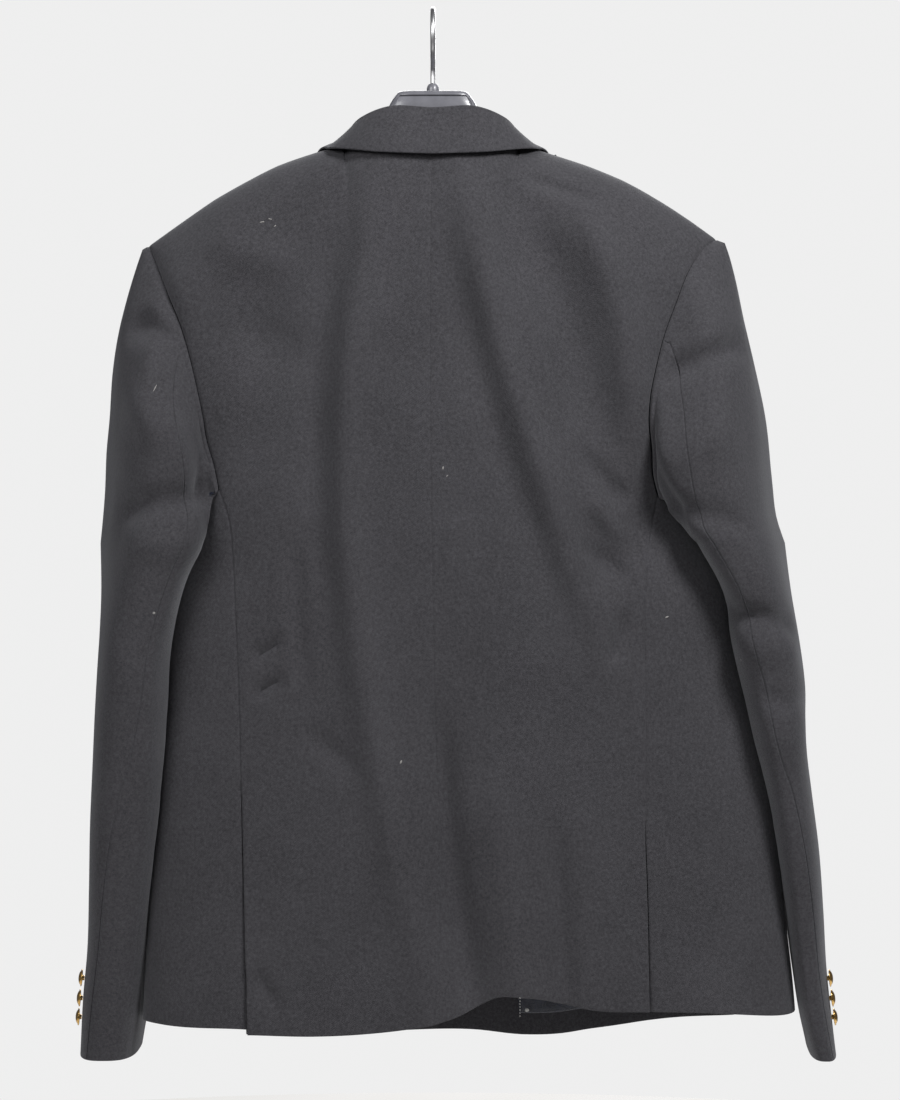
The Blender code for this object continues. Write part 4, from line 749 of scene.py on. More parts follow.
def sleeve_grid(side, grids):
    """A sleeve from the armhole down, one column for each grid line round the armhole."""
    back, piece, front = grids["back"], grids["side"], grids["front"]
    corner = SIDE_ROWS * FINE
    loop = np.vstack([back[corner:, -1][::-1], piece[-1][1:-1], front[corner:-1, -1]])
    back_normals = grid_normals(back, side)[corner:, -1][::-1]
    front_normals = grid_normals(front, side)[corner:-1, -1]
    side_normals = np.tile((side, 0.0, 0.0), (len(piece[-1]) - 2, 1))
    normals = np.vstack([back_normals, side_normals, front_normals])
    normals[0] = unit(SLEEVE_TIP * (side, 1, 1))
    count = len(loop)
    steps = np.linalg.norm(np.roll(loop, -1, axis=0) - loop, axis=1)
    share = np.concatenate([[0], np.cumsum(steps)[:-1]]) / steps.sum()

    def shares_at(z):
        hind = smooth(HIND_SEAM[:, 0], HIND_SEAM[:, 1], z)
        keys = (0, HIND_COLUMN * FINE, FORE_COLUMN * FINE, count)
        return np.interp(np.arange(count), keys, (0, hind, FORE_SEAM, 1))

    top = SLEEVES[side][-1, 0]
    levels = np.linspace(top, SLEEVES[side][0, 0], SLEEVE_ROWS * FINE + 1)[1:]
    first = ring_points(side, np.full(count, top), shares_at(top))
    below = ring_points(side, np.full(count, top - BELOW_CAP), shares_at(top - BELOW_CAP))
    far = np.linalg.norm(first - loop, axis=1)[:, None]
    middle = (loop[:, 1].max() + loop[:, 1].min()) / 2
    spread = (loop[:, 1] - middle) / (loop[:, 1].max() - middle)
    ways = (np.full(count, side * SLEEVE_AWAY), SLEEVE_SPREAD * spread, np.full(count, -SLEEVE_AWAY))
    away = unit(np.column_stack(ways))
    inward = np.sum(away * normals, axis=1, keepdims=True)
    flush = unit(away - np.minimum(inward, 0) * normals)
    start = loop + SEAM_TURN * flush
    rows = [loop, start]
    outline = np.vstack([(top, (side * first[:, 0]).max()), SLEEVE_HEAD[side]])
    for k in range(1, CAP_ROWS * FINE + 1):
        t = (k / CAP_ROWS / FINE) ** SLEEVE_EASE
        leave = (2 * t**3 - 3 * t**2 + 1) * start + (t**3 - 2 * t**2 + t) * far * away
        arrive = (3 * t**2 - 2 * t**3) * first + (t**3 - t**2) * far * unit(below - first)
        row = leave + arrive
        out = side * (row[:, 0] - loop[:, 0])
        reach = smooth(outline[:, 0], outline[:, 1], row[0, 2]) - side * loop[:, 0]
        row[:, 0] += side * out * (np.min((reach / out)[out > HEAD_REACH]) - 1)
        rows.append(clear_of_body(row, side, SLEEVE_CLEAR * min(1, 3 * t)))
    for z in levels:
        ring = ring_points(side, np.full(count, z), shares_at(z))
        rows.append(clear_of_body(ring, side, SLEEVE_CLEAR))
    grid = np.array(rows)
    middle = grid.mean(axis=1, keepdims=True)
    out = unit((grid - middle) * (1, 1, 0))
    cap = [share + (shares_at(top) - share) * k / CAP_ROWS / FINE for k in range(1, CAP_ROWS * FINE + 1)]
    spans = np.array([share, share, *cap, *[shares_at(z) for z in levels]])
    before, within = FOLD_GROWS
    for s1, z1, s2, z2, width, height in SLEEVE_FOLDS[side]:
        centre = z1 + (z2 - z1) * np.clip((spans - s1) / (s2 - s1), 0, 1)
        ends = ramp(spans, s1 - before, s1 + within) * (1 - ramp(spans, s2 - within, s2 + before))
        bump = height * ends * np.exp(-(((grid[..., 2] - centre) / width) ** 2))
        bump *= ramp(np.arange(len(bump)), 2, 2 * FINE)[:, None]
        grid += out * bump[..., None]
    return grid


def collar_half(side, neck):
    """The sections of one half of the collar, from the centre back to its end at the front."""
    table = COLLAR_ROWS.copy()
    keys = np.concatenate([[0], np.cumsum(np.linalg.norm(np.diff(table[:, :3], axis=0), axis=1))])
    steps = np.linalg.norm(np.diff(neck, axis=0), axis=1)
    place = np.concatenate([[0], np.cumsum(steps)])
    place *= keys[-1] / place[-1]
    rows = smooth(keys, table[:, 3:], place)
    mirror = np.array((side, 1, 1))
    run = unit(np.gradient(neck, axis=0)) * side
    run[0] = (1, 0, 0)
    stand = rows[:, :3] * mirror
    stand = unit(stand - np.sum(stand * run, axis=1, keepdims=True) * run)
    out = unit(np.cross(run, stand))
    height = rows[:, 3:4]
    edge = rows[:, 4:] * mirror
    on_front = np.abs(edge[:, 0]) > COLLAR_FRONT
    laid_edge = lifted(front_of(side), edge[:, 0], edge[:, 2], COLLAR_LIFT)
    edge = np.where(on_front[:, None], laid_edge, edge)
    foot = neck + COLLAR_SEAM * stand - COLLAR_WALL * out
    centre = neck + (height + COLLAR_SEAM) * stand + (COLLAR_FOLD - COLLAR_WALL) * out
    turns = np.radians(FOLD_ANGLES)
    arcs = [centre + COLLAR_FOLD * (math.sin(turn) * out + math.cos(turn) * stand) for turn in turns]
    start = arcs[-1]
    fall = []
    gorge = np.array((GORGE_START, NOTCH, COLLAR_CORNER)) * (side, 1)
    for share in COLLAR_FALL:
        line = start + (edge - start) * share
        place = np.interp(share, (0, NOTCH_SHARE, 1), (0, 1, 2))
        plan = np.array([np.interp(place, (0, 1, 2), gorge[:, k]) for k in (0, 1)])
        end = lifted(front_of(side), plan[0], plan[1], COLLAR_LIFT)
        weight = np.linspace(0, 1, len(line)) ** COLLAR_EASE
        line = line + weight[:, None] * (end - line[-1])
        top = shoulder_height(line[:, 0], line[:, 1]) + COLLAR_LIFT + COLLAR_MORE - COLLAR_TAPER * share**2
        near = np.abs(line[:, 0]) > NECK_POINT
        line[:, 2] = np.where(near & (weight < 0.5), np.maximum(line[:, 2], top), line[:, 2])
        fall.append(line)
    return np.stack([foot, *arcs, *fall], axis=1)


def moved_in(grid, side, depth):
    """A grid moved in from its cloth's outer face."""
    return grid - grid_normals(grid, side) * depth


def with_lines(points, edges):
    """The grid with more lines next to edges that have a rim or a pressed seam, and each line's depth."""
    made = points
    dips = []
    for axis, (first, last) in ((0, edges[:2]), (1, edges[2:])):
        count = made.shape[axis]
        depth = []
        for end, beside, style in ((0, 1, first), (count - 1, count - 2, last)):
            edge = np.take(made, end, axis)
            step = np.take(made, beside, axis) - edge
            reach = np.maximum(np.linalg.norm(step, axis=-1, keepdims=True), 1e-6)
            places = STYLES[style][:, 0]
            lines = [edge + step / reach * np.minimum(place, 0.8 * reach * (k + 1) / len(places))
                     for k, place in enumerate(places)]
            depth.append((lines, STYLES[style][:, 1:]))
        (low, low_dip), (high, high_dip) = depth
        inside = [np.take(made, k, axis) for k in range(1, count - 1)]
        made = np.stack(low + inside + high[::-1], axis=axis)
        dips.append(np.vstack([low_dip, np.zeros((len(inside), 2)), high_dip[::-1]]))
    outer = np.maximum(dips[0][:, None, 0], dips[1][None, :, 0])
    inner = np.maximum(dips[0][:, None, 1], dips[1][None, :, 1])
    return made, outer, inner


def placed(name, data):
    """A new object in the scene."""
    obj = bpy.data.objects.new(name, data)
    bpy.context.scene.collection.objects.link(obj)
    return obj


def smoothed(mesh):
    mesh.shade_smooth()
    mesh.set_sharp_from_angle(angle=math.radians(SHARP))


def shell(name, points, wall, looks, edges, turned=False, band=None):
    """A cloth wall round a fine grid of its outer face.

    edges holds the styles of its bottom, top, inner and outer edges. band says from which height up the
    inside is lined, so that only a hem of cloth shows there.
    """
    points, dip, lift = with_lines(points, edges)
    sign = -1 if turned else 1
    normals = unit(np.cross(np.gradient(points, axis=1), np.gradient(points, axis=0))) * sign
    outer = points - normals * (dip * wall)[..., None]
    inner = points - normals * (wall * (1 - lift))[..., None]
    rows, columns = points.shape[:2]
    index = np.arange(rows * columns).reshape(rows, columns)
    quads = np.stack([index[:-1, :-1], index[:-1, 1:], index[1:, 1:], index[1:, :-1]], axis=-1).reshape(-1, 4)
    under = quads[:, ::-1] + rows * columns
    ring = np.concatenate([index[0, :-1], index[:-1, -1], index[-1, :0:-1], index[:0:-1, 0]])
    after = np.roll(ring, -1)
    rim = np.stack([ring, ring + rows * columns, after + rows * columns, after], axis=-1)
    faces = np.concatenate([quads, under, rim])
    if turned:
        faces = faces[:, ::-1]
    mesh = bpy.data.meshes.new(name)
    mesh.from_pydata(np.concatenate([outer, inner]).reshape(-1, 3) * MM, [], faces)
    across = np.cumsum(np.linalg.norm(np.diff(points, axis=1, prepend=points[:, :1]), axis=-1), axis=1)
    up = np.cumsum(np.linalg.norm(np.diff(points, axis=0, prepend=points[:1]), axis=-1), axis=0)
    plan = np.tile(np.stack([across, up], axis=-1).reshape(-1, 2), (2, 1)) * MM
    layer = mesh.uv_layers.new(name="cloth")
    corner = np.empty(len(mesh.loops), int)
    mesh.loops.foreach_get("vertex_index", corner)
    layer.data.foreach_set("uv", plan[corner].ravel())
    for look in looks:
        mesh.materials.append(look)
    if band is not None:
        middles = inner.reshape(-1, 3)[under - rows * columns].mean(axis=1)
        lined = np.zeros(len(faces), int)
        lined[len(quads) : 2 * len(quads)] = middles[:, 2] > band(middles)
        mesh.polygons.foreach_set("material_index", lined)
    smoothed(mesh)
    obj = placed(name, mesh)
    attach(obj, "root")
    return obj


def mix_noise(tree, vector, scale, detail=2.0, roughness=0.5):
    noise = tree.nodes.new("ShaderNodeTexNoise")
    noise.inputs["Scale"].default_value = scale
    noise.inputs["Detail"].default_value = detail
    noise.inputs["Roughness"].default_value = roughness
    tree.links.new(vector, noise.inputs["Vector"])
    return noise.outputs["Fac"]


def blended(tree, first, second, amount):
    """The sum of a first value and a second one's swing about its middle."""
    swing = tree.nodes.new("ShaderNodeMath")
    swing.operation = "MULTIPLY_ADD"
    tree.links.new(second, swing.inputs[0])
    swing.inputs[1].default_value = amount
    swing.inputs[2].default_value = -amount / 2
    made = tree.nodes.new("ShaderNodeMath")
    tree.links.new(first, made.inputs[0])
    tree.links.new(swing.outputs[0], made.inputs[1])
    return made.outputs[0]


def coloured(tree, value, low, high, colours):
    ramp_node = tree.nodes.new("ShaderNodeValToRGB")
    ramp_node.color_ramp.elements[0].position = low
    ramp_node.color_ramp.elements[1].position = high
    ramp_node.color_ramp.elements[0].color = (*colours[0], 1)
    ramp_node.color_ramp.elements[1].color = (*colours[1], 1)
    tree.links.new(value, ramp_node.inputs["Fac"])
    return ramp_node.outputs["Color"]


def bumped(tree, shader, height, strength, distance):
    bump = tree.nodes.new("ShaderNodeBump")
    bump.inputs["Strength"].default_value = strength
    bump.inputs["Distance"].default_value = distance
    tree.links.new(height, bump.inputs["Height"])
    tree.links.new(bump.outputs["Normal"], shader.inputs["Normal"])


def new_look(name, **constants):
    """A new material, its tree, its shader and the object's own coordinates."""
    made = bpy.data.materials.new(name)
    made.use_nodes = True
    tree = made.node_tree
    shader = tree.nodes["Principled BSDF"]
    for socket, value in constants.items():
        shader.inputs[socket.replace("_", " ")].default_value = value
    return made, tree, shader, tree.nodes.new("ShaderNodeTexCoord").outputs["Object"]


def cloth_plan(tree):
    """The cloth's own plan, in metres."""
    plan = tree.nodes.new("ShaderNodeUVMap")
    plan.uv_map = "cloth"
    return plan.outputs["UV"]


def twill(tree, plan, pitch, lean):
    """Diagonal ribs of this pitch in metres, in the cloth's own plan."""
    turn = tree.nodes.new("ShaderNodeMapping")
    turn.inputs["Rotation"].default_value = (0, 0, lean)
    tree.links.new(plan, turn.inputs["Vector"])
    wave = tree.nodes.new("ShaderNodeTexWave")
    wave.inputs["Scale"].default_value = math.pi / 10 / pitch
    wave.inputs["Distortion"].default_value = 1.5
    wave.inputs["Detail"].default_value = 1.0
    wave.inputs["Detail Scale"].default_value = 1.5
    tree.links.new(turn.outputs["Vector"], wave.inputs["Vector"])
    return wave.outputs["Fac"]


def wool_look():
    made, tree, shader, place = new_look(
        "wool_cloth", Roughness=0.88, Specular_IOR_Level=0.22, Sheen_Weight=WOOL_SHEEN, Sheen_Roughness=0.55,
        Sheen_Tint=(0.88, 0.9, 0.95, 1),
    )
    plan = cloth_plan(tree)
    patches = mix_noise(tree, place, 14, 3)
    nap = mix_noise(tree, place, 420, 2, 0.7)
    hairs = mix_noise(tree, place, 1400, 1)
    value = blended(tree, blended(tree, nap, patches, 0.35), hairs, 0.6)
    tree.links.new(coloured(tree, value, 0.2, 0.8, WOOL_COLOURS), shader.inputs["Base Color"])
    ribs = twill(tree, plan, TWILL_PITCH, math.radians(58))
    height = blended(tree, blended(tree, nap, ribs, 0.35), hairs, 0.6)
    bumped(tree, shader, height, 0.32, 0.0004)
    return made


def satin_look():
    made, tree, shader, place = new_look(
        "lining_satin", Roughness=0.27, Specular_IOR_Level=0.7, Anisotropic=0.5
    )
    plan = cloth_plan(tree)
    ribs = twill(tree, plan, 0.0006, math.radians(63))
    value = blended(tree, mix_noise(tree, place, 60, 2), ribs, 0.3)
    tree.links.new(coloured(tree, value, 0.4, 0.9, SATIN_COLOURS), shader.inputs["Base Color"])
    bumped(tree, shader, blended(tree, mix_noise(tree, place, 22, 2), ribs, 0.08), 0.25, 0.002)
    return made


def gold_look():
    made, tree, shader, place = new_look("button_gold", Metallic=1.0)
    worn = mix_noise(tree, place, 260, 3)
    tree.links.new(coloured(tree, worn, 0.35, 0.7, GOLD_COLOURS), shader.inputs["Base Color"])
    rough = tree.nodes.new("ShaderNodeMapRange")
    rough.inputs["To Min"].default_value = 0.16
    rough.inputs["To Max"].default_value = 0.34
    tree.links.new(worn, rough.inputs["Value"])
    tree.links.new(rough.outputs["Result"], shader.inputs["Roughness"])
    bumped(tree, shader, worn, 0.08, 0.0003)
    return made


def plastic_look():
    made, tree, shader, place = new_look(
        "hanger_plastic", Roughness=0.32, Specular_IOR_Level=0.5, Coat_Weight=0.3, Coat_Roughness=0.2
    )
    scuffs = mix_noise(tree, place, 90, 4)
    tree.links.new(coloured(tree, scuffs, 0.3, 0.8, PLASTIC_COLOURS), shader.inputs["Base Color"])
    bumped(tree, shader, mix_noise(tree, place, 30, 2), 0.06, 0.002)
    return made


def steel_look():
    made, tree, shader, place = new_look("hook_steel", Metallic=1.0, Roughness=0.36)
    drawn = mix_noise(tree, place, 300, 2)
    tree.links.new(coloured(tree, drawn, 0.3, 0.8, STEEL_COLOURS), shader.inputs["Base Color"])
    bumped(tree, shader, drawn, 0.05, 0.0002)
    return made


def thread_look(name, colours):
    made, tree, shader, place = new_look(name, Roughness=0.7)
    fibres = mix_noise(tree, place, 2500, 2)
    tree.links.new(coloured(tree, fibres, 0.3, 0.7, colours), shader.inputs["Base Color"])
    bumped(tree, shader, fibres, 0.3, 0.0001)
    return made


def flared(grid, side, vent_top, lift):
    """A panel with its edge at the vent standing off a little, more towards the hem."""
    normals = grid_normals(grid, side)
    down = ramp(vent_top - grid[..., 2], 0, VENT_FULL[0])
    near = np.linspace(0, 1, grid.shape[1])[None, :] ** VENT_EASE
    inward = unit(grid[:, -2] - grid[:, -1])[:, None]
    open_edge = VENT_OPEN * ramp(vent_top - grid[..., 2], 0, VENT_FULL[1]) * near
    return grid + normals * (lift * down * near)[..., None] + inward * open_edge[..., None]


def cloth_piece(name, points, looks, edges, turned, band=None):
    obj = shell(name, points, CLOTH, looks, edges, turned, band)
    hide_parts(name)


def build_body(side, word, grids, wool, satin):
    inside = [wool, satin]
    hem = HEM_BACK_LEFT if side < 0 else HEM_BACK_RIGHT[::-1]
    keys = np.sort(hem[:, 0])
    heights = hem[np.argsort(hem[:, 0]), 1]

    def lined(middles):
        return np.interp(middles[:, 0], keys, heights) + HEM_BAND

    def faced(middles):
        on_facing = np.abs(middles[:, 0] - FACING_MIDDLE) < FACING
        return np.where(on_facing, UNLINED, FRONT_HEM + HEM_BAND)

    back = flared(grids["back"], side, VENT_TOP[side], VENT_FLARE)
    back = drawn_in(back, top=SEWN, inner=SEWN, outer=SEWN)
    cloth_piece("back_" + word, back, inside, ("rim", "seam", "faint", "seam"), side < 0, band=lined)
    piece = drawn_in(grids["side"], top=SEWN, inner=SEWN, outer=SEWN)
    cloth_piece("side_" + word, piece, inside, ("rim", "seam", "seam", "seam"), side < 0, band=lined)
    front = drawn_in(grids["front"], top=SEWN, outer=FRONT_SEWN)
    cloth_piece("front_" + word, front, inside, ("rim", "seam", "rim", "seam"), side > 0, band=faced)


def build_sleeves(side, word, grids, wool, satin):
    grid = sleeve_grid(side, grids)
    ring = np.arange(grid.shape[1])
    hind, fore = HIND_COLUMN * FINE, FORE_COLUMN * FINE
    top = np.concatenate([ring[fore:], ring[: hind + 1]])
    under = ring[hind : fore + 1]
    for name, columns in (("top_sleeve_", top), ("under_sleeve_", under)):
        piece = drawn_in(grid[:, columns], bottom=ARMHOLE_SEWN, inner=SEWN, outer=SEWN)
        cloth_piece(name + word, piece, [wool, satin], ("deep", "rim", "seam", "seam"), side < 0,
                    band=lambda middles: np.full(len(middles), SLEEVES[side][0, 0] + CUFF_BAND))


def build_collar(halves, backs, wool):
    left, right = halves
    sections = np.vstack([left[::-1], right[1:]])
    middle = len(left) - 1
    sections[middle] = (left[0] + right[0]) / 2
    edge = sections[:, -1]
    apart = np.linalg.norm(edge[:, None, [0, 2]] - backs[None][..., [0, 2]], axis=-1)
    gap = backs[apart.argmin(axis=1), 1] - COLLAR_STAND - edge[:, 1]
    at_back = ramp(-edge[:, 1], *COLLAR_BACK)
    sections[:, -len(COLLAR_FALL) :, 1] += (np.clip(gap, 0, COLLAR_PRESS) * at_back)[:, None] * COLLAR_FALL**2
    cloth_piece("collar", sections, [wool], ("rim", "rim", "plain", "rim"), False)


def build_lapel(side, word, grids, wool):
    """The front's upper corner, folded back at the roll line and laid over the front."""
    grid = grids["front"]
    rows = slice(EDGE_ROWS * FINE, grid.shape[0] - NECK_ROWS * FINE)
    roll = grid[rows, 0]
    away = unit(roll - grid[rows, 1])
    out = grid_normals(grid, side)[rows, 0]
    away = unit(away - np.sum(away * out, axis=1, keepdims=True) * out)
    centre = roll + SEAM_GAP * away + (LAPEL_LIFT - FOLD_RADIUS) * out
    turns = np.radians(FOLD_ANGLES)
    columns = [centre + FOLD_RADIUS * (math.sin(turn) * out + math.cos(turn) * away) for turn in turns]
    run = unit(roll[-1, [0, 2]] - roll[0, [0, 2]])
    across = np.array((run[1], -run[0])) * side
    share = np.linspace(0, 1, len(roll))
    width = smooth(LAPEL_EDGE[:, 0], LAPEL_EDGE[:, 1], share)
    edge = roll[:, [0, 2]] + width[:, None] * across
    peak = PEAK * (side, 1)
    edge += (peak - edge[-1]) * (share**PEAK_EASE)[:, None]
    gorge = np.array((GORGE_START, NOTCH, PEAK)) * (side, 1)
    for part in LAPEL_COLUMNS:
        plan = roll[:, [0, 2]] + part * (edge - roll[:, [0, 2]])
        end = np.array([np.interp(part, (0, 0.5, 1), gorge[:, k]) for k in (0, 1)])
        plan += (end - plan[-1]) * (share**GORGE_EASE)[:, None]
        columns.append(lifted(front_of(side), plan[:, 0], plan[:, 1], LAPEL_LIFT))
    points = drawn_in(np.stack(columns, axis=1), top=COLLAR_SEAM)
    cloth_piece("lapel_" + word, points, [wool], ("rim", "rim", "plain", "rim"), side < 0)


def build_underlap(side, word, grids, wool):
    grid = moved_in(grids["back"], side, LAY)[:, -VENT_COLUMNS * FINE - 1 :]
    rows = int(np.sum(grid[:, -1, 2] < VENT_TOP[side]))
    piece = drawn_in(grid[:rows], outer=-VENT_OPEN)
    cloth_piece("vent_underlap_" + word, piece, [wool], ("rim", "rim", "rim", "plain"), side < 0)


def build_lining(grids, satin):
    """The lining inside the right front, up to the edge of its facing."""
    grid = moved_in(grids["front"], 1, LAY)[: SIDE_ROWS * FINE + 1]
    first = int(np.sum(grid[0, :, 0] < LINING_EDGE))
    share = (LINING_EDGE - grid[0, first - 1, 0]) / (grid[0, first, 0] - grid[0, first - 1, 0])
    edge = grid[:, first - 1] + (grid[:, first] - grid[:, first - 1]) * share
    points = np.concatenate([edge[:, None], grid[:, first:]], axis=1)
    start = int(np.ceil(LINING_HEM / np.linalg.norm(points[1] - points[0], axis=1).mean()))
    points = drawn_in(points[start:], outer=2 * SEAM_GAP)
    edges = ("rim", "plain", "rim", "plain")
    piece = shell("lining_front_right", points, LINING_WALL, [satin], edges, True)
    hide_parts("lining_front_right")


def turned_mesh(name, profile, steps, look):
    """A turned shape about its own Z, from a profile of radius and height that runs from the top down."""
    mesh = bpy.data.meshes.new(name)
    points = [(radius * MM, 0, height * MM) for radius, height in profile]
    mesh.from_pydata(points, [], [])
    mesh.edges.add(len(points) - 1)
    for k, edge in enumerate(mesh.edges):
        edge.vertices = (k, k + 1)
    obj = placed(name, mesh)
    screw = obj.modifiers.new("Turn", "SCREW")
    screw.steps = steps
    screw.render_steps = steps
    screw.use_merge_vertices = True
    screw.merge_threshold = 1e-6
    mesh.materials.append(look)
    bpy.context.view_layer.update()
    graph = bpy.context.evaluated_depsgraph_get()
    made = bpy.data.meshes.new_from_object(obj.evaluated_get(graph))
    obj.modifiers.clear()
    obj.data = made
    made.name = name
    smoothed(made)
    return obj


def build_button(name, size, foot, axis, gold):
    obj = turned_mesh(name, FINE_BUTTON * (size / 2, size), BUTTON_ROUND, gold)
    direction = Vector(axis)
    obj.rotation_mode = "QUATERNION"
    obj.rotation_quaternion = Vector((0, 0, 1)).rotation_difference(direction)
    obj.location = Vector(foot) * MM + direction * BUTTON_GAP * MM
    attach(obj, "root")
    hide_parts(name)


def build_buttons(gold):
    for side, word in ((-1, "left"), (1, "right")):
        for number, z in enumerate(CUFF_BUTTON_HEIGHTS, 1):
            near = CUFF_BUTTON_SHARE + np.array((-SLOPE_SHARE, 0, SLOPE_SHARE))
            around = ring_points(side, np.full(3, z), near)
            above = ring_points(side, np.full(1, z + SLOPE_HEIGHT), np.array((CUFF_BUTTON_SHARE,)))[0]
            axis = unit(np.cross(around[2] - around[0], above - around[1])) * side
            axis *= np.sign(axis[0]) * side
            build_button(f"cuff_button_{word}_{number}", CUFF_BUTTON, around[1], axis, gold)
    for side, row, distance, z in FRONT_BUTTONS:
        word = "left" if side < 0 else "right"
        height = np.array(float(z))
        x = np.array(ring_at(height)[0] + side * distance)
        # All lie on the left front, which laps over, but for the top one on the right.
        cloth = front_of(1 if side > 0 and row == TOP_ROW else -1)
        foot = lifted(cloth, x, height, np.array(0.0))
        build_button(f"front_button_{word}_{row}", FRONT_BUTTON, foot, normals_of(cloth, x, height), gold)


def lofted(name, rings, look):
    """A closed form through rings of points, all with the same count."""
    count = len(rings[0])
    points = np.concatenate(rings) * MM
    faces = [tuple(range(count))[::-1], tuple(range(len(points) - count, len(points)))]
    for k in range(len(rings) - 1):
        low, high = k * count, (k + 1) * count
        faces += [(low + j, low + (j + 1) % count, high + (j + 1) % count, high + j) for j in range(count)]
    mesh = bpy.data.meshes.new(name)
    mesh.from_pydata(points, [], faces)
    mesh.materials.append(look)
    smoothed(mesh)
    obj = placed(name, mesh)
    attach(obj, "root")
    return obj


def build_arms(plastic):
    """Both arms as one bar, its top fitted under the cloth of the shoulders."""
    rings = []
    for x in np.linspace(ARMS[0, 0], ARMS[-1, 0], ARM_STATIONS):
        half, height = smooth(ARMS[:, 0], ARMS[:, 1:], x)
        offsets = half * np.sin(np.linspace(-1, 1, ARM_TOP_POINTS) * math.pi / 2)
        sideways = np.minimum(1, np.abs(offsets) / ARM_SIDE)
        clear = ARM_CLEAR + ARM_SIDE_CLEAR * sideways * (1 + np.clip(offsets / ARM_FORWARD, 0, 2))
        top = shoulder_height(np.full(ARM_TOP_POINTS, x), RIDGE_Y + offsets) - CLOTH * ARM_CLOTH - clear
        top = np.minimum(top, ARM_NECK_TOP)
        edge = 1 - np.sqrt(1 - np.clip(np.abs(offsets) / half, 0, 1) ** ARM_RIM_POWER)
        top -= height * ARM_RIM * edge
        angle = np.linspace(0, math.pi, ARM_LOW_POINTS + 2)[1:-1]
        low_y = half * ARM_LOW_WIDTH * np.cos(angle)
        at_side, more, power = ARM_BELLY
        low_z = top[ARM_TOP_POINTS // 2] - height * (at_side + more * np.sin(angle) ** power)
        y = RIDGE_Y + np.concatenate([offsets, low_y])
        rings.append(np.column_stack([np.full(len(y), x), y, np.concatenate([top, low_z])]))
    return lofted("hanger_arms", [ring[::-1] for ring in rings], plastic)


def build_neck(plastic):
    """The hanger's broad neck, with a raised rim round a shallow recess on each face."""
    angles = 2 * math.pi * (np.arange(NECK_ROUND) + 0.5) / NECK_ROUND
    rings = []
    lower = np.linspace(NECK_BLOCK[0, 0], NECK_TOP - NECK_ROUNDING, NECK_STATIONS)
    for z in np.concatenate([lower, NECK_TOP - NECK_LAST]):
        half_x, half_y = smooth(NECK_BLOCK[:, 0], NECK_BLOCK[:, 1:], z)
        up = max(0, z - NECK_TOP + NECK_ROUNDING)
        round_off = NECK_ROUNDING - math.sqrt(max(0, NECK_ROUNDING**2 - up**2))
        x = (half_x - round_off) * np.sign(np.cos(angles)) * np.abs(np.cos(angles)) ** NECK_SQUARE
        y = (half_y - round_off) * np.sign(np.sin(angles)) * np.abs(np.sin(angles)) ** NECK_SQUARE
        across = ramp(half_x - NECK_RIM - np.abs(x), 0, NECK_STEP)
        inside = across * ramp(NECK_TOP - NECK_RIM - z, 0, NECK_STEP)
        y -= np.sign(y) * NECK_RECESS * inside
        rings.append(np.column_stack([x, y, np.full(NECK_ROUND, z)]))
    return lofted("hanger_neck", rings, plastic)


def build_hanger(plastic, steel):
    arms = build_arms(plastic)
    neck = build_neck(plastic)
    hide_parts("hanger_body")
    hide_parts("hanger_body")
    ferrule = turned_mesh("hanger_stub", FINE_FERRULE, BUTTON_ROUND, plastic)
    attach(ferrule, "root")
    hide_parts("hanger_ferrule")
    route = list(HOOK_STEM)
    for angle in np.radians(np.arange(*HOOK_TURN)):
        y = (HOOK_RADIUS + HOOK_WIRE) * math.cos(angle)
        z = (HOOK_RADIUS + HOOK_WIRE) * math.sin(angle) - HOOK_RADIUS
        route.append((0, y, z))
    curve = bpy.data.curves.new("hanger_wire", "CURVE")
    curve.dimensions = "3D"
    curve.bevel_depth = HOOK_WIRE * MM
    curve.bevel_resolution = 6
    curve.use_fill_caps = True
    spline = curve.splines.new("POLY")
    spline.points.add(len(route) - 1)
    for point, place in zip(spline.points, route):
        point.co = (*[value * MM for value in place], 1)
    curve.materials.append(steel)
    wire = placed("hanger_wire", curve)
    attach(wire, "root")
    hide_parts("hanger_hook")


def area_light(name, place, aim, size, power):
    lamp = bpy.data.lights.new(name, "AREA")
    lamp.shape = "RECTANGLE"
    lamp.size, lamp.size_y = size
    lamp.energy = power
    obj = placed(name, lamp)
    obj.location = place
    obj.rotation_mode = "QUATERNION"
    obj.rotation_quaternion = (Vector(aim) - Vector(place)).to_track_quat("-Z", "Y")


def seen_from_camera(camera, px, py):
    """Where the camera sees the cloth at a pixel of the photograph, and the way out of the cloth there."""
    bpy.context.view_layer.update()
    scale = VIEW_HEIGHT / PHOTO_SIZE[1] / CAMERA_DISTANCE
    way = Vector(((px - PHOTO_SIZE[0] / 2) * scale, 1.0, -(py - PHOTO_SIZE[1] / 2) * scale)).normalized()
    graph = bpy.context.evaluated_depsgraph_get()
    hit, place, normal, _, _, _ = bpy.context.scene.ray_cast(graph, camera.location, way)
    if not hit:
        return None
    return place, normal if normal.dot(way) < 0 else -normal


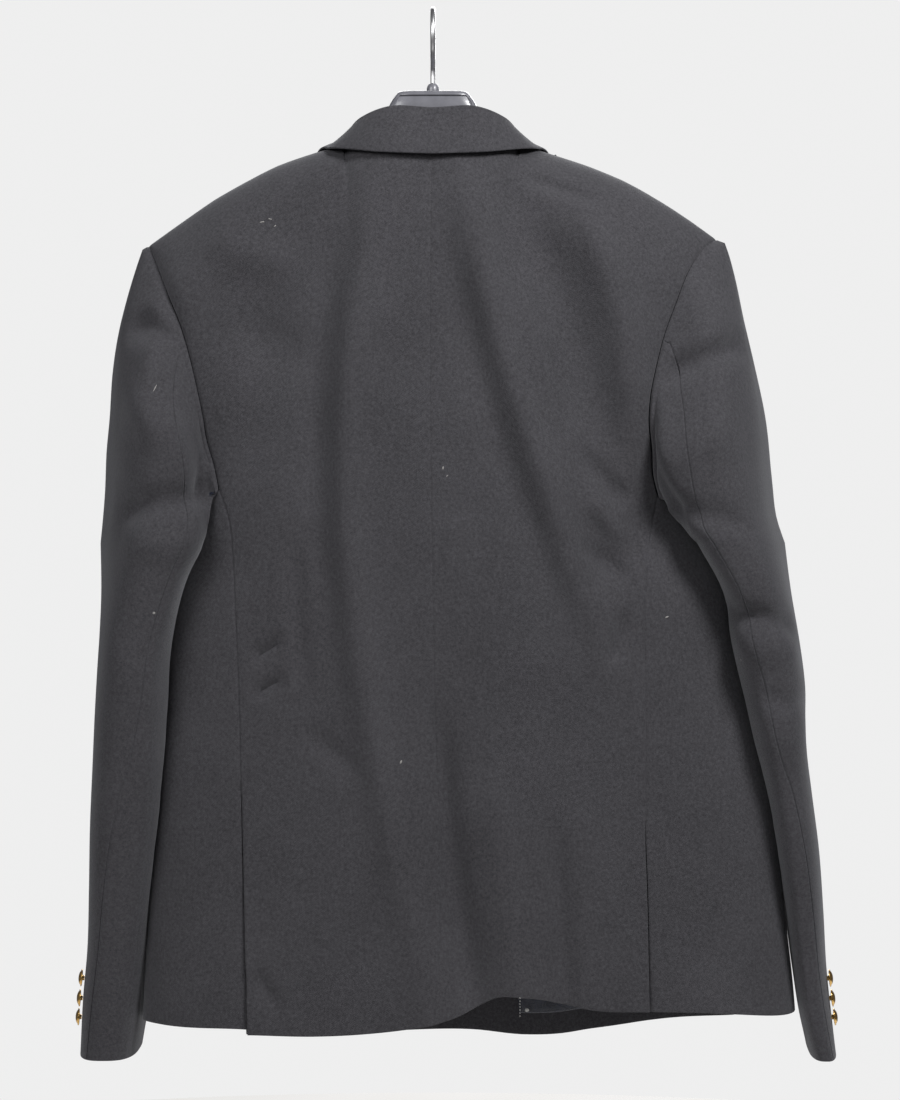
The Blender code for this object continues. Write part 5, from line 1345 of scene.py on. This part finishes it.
def build_specks(name, camera, table, look):
    """Small flat grains laid on the cloth where the camera sees them, all one piece."""
    points, faces = [], []
    for px, py, length, width, turn in table:
        found = seen_from_camera(camera, px, py)
        if found is None:
            continue
        place, normal = found
        along = Vector((math.cos(math.radians(turn)), 0, math.sin(math.radians(turn))))
        along = (along - normal * along.dot(normal)).normalized()
        across = normal.cross(along)
        first = len(points)
        for level, share in SPECK_LEVELS:
            count = SPECK_ROUND if share else 1
            for k in range(count):
                angle = 2 * math.pi * k / SPECK_ROUND
                reach = along * (math.cos(angle) * length / 2) + across * (math.sin(angle) * width / 2)
                points.append(place + (reach * share + normal * (SPECK_HEIGHT * level)) * MM)
        for k in range(SPECK_ROUND):
            after = (k + 1) % SPECK_ROUND
            low, high = first, first + SPECK_ROUND
            faces.append((low + k, low + after, high + after, high + k))
            faces.append((high + k, high + after, first + 2 * SPECK_ROUND))
        faces.append(tuple(range(first + SPECK_ROUND - 1, first - 1, -1)))
    mesh = bpy.data.meshes.new(name)
    mesh.from_pydata(points, [], faces)
    mesh.materials.append(look)
    mesh.shade_smooth()
    obj = placed(name, mesh)
    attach(obj, "root")


def build_stage():
    bpy.ops.mesh.primitive_circle_add(
        vertices=96, radius=FLOOR_RADIUS, fill_type="NGON", location=(0, 0, FLOOR_HEIGHT)
    )
    floor = bpy.context.object
    floor.name = "floor"
    made, tree, shader, place = new_look("floor_paper", Roughness=0.9)
    shade = coloured(tree, mix_noise(tree, place, 3, 2), 0.3, 0.7, FLOOR_COLOURS)
    tree.links.new(shade, shader.inputs["Base Color"])
    floor.data.materials.append(made)
    world = bpy.data.worlds.new("studio")
    bpy.context.scene.world = world
    world.use_nodes = True
    tree = world.node_tree
    background = tree.nodes["Background"]
    seen = tree.nodes.new("ShaderNodeLightPath")
    mix = tree.nodes.new("ShaderNodeMix")
    mix.data_type = "RGBA"
    mix.inputs["A"].default_value = (*AMBIENT, 1)
    mix.inputs["B"].default_value = (*BACKDROP, 1)
    tree.links.new(seen.outputs["Is Camera Ray"], mix.inputs["Factor"])
    tree.links.new(mix.outputs["Result"], background.inputs["Color"])
    for row in LIGHTS:
        area_light(*row)


def build_camera():
    lens = bpy.data.cameras.new("camera")
    lens.sensor_width = SENSOR
    lens.lens = SENSOR * CAMERA_DISTANCE / VIEW_HEIGHT
    camera = placed("camera", lens)
    camera.location = (CAMERA_X * MM, -CAMERA_DISTANCE * MM, CAMERA_Z * MM)
    camera.rotation_euler = (math.pi / 2, 0, 0)
    lens.clip_end = 100
    bpy.context.scene.camera = camera
    return camera


def build():
    wool, satin, gold, plastic, steel = wool_look(), satin_look(), gold_look(), plastic_look(), steel_look()
    thread = thread_look("thread", THREAD_COLOURS)
    lint = thread_look("lint", LINT_COLOURS)
    halves, backs = [], []
    for side, word in ((-1, "left"), (1, "right")):
        grids = body_grids(side, seams_of(side))
        build_body(side, word, grids, wool, satin)
        build_sleeves(side, word, grids, wool, satin)
        build_lapel(side, word, grids, wool)
        neck = np.vstack([grids["back"][-1, : NECK_COLUMNS * FINE + 1],
                          grids["front"][-1 : -NECK_ROWS * FINE - 2 : -1, 0][1:]])
        halves.append(collar_half(side, neck))
        backs.append(grids["back"][-12 * FINE :].reshape(-1, 3))
        build_underlap(side, word, grids, wool)
        if side > 0:
            build_lining(grids, satin)
    build_collar(halves, np.concatenate(backs), wool)
    build_buttons(gold)
    build_hanger(plastic, steel)
    camera = build_camera()
    build_specks("lint", camera, LINT, lint)
    build_specks("facing_stitches", camera, STITCHES, thread)
    build_stage()


build()
bpy.context.scene.view_settings.view_transform = "Standard"
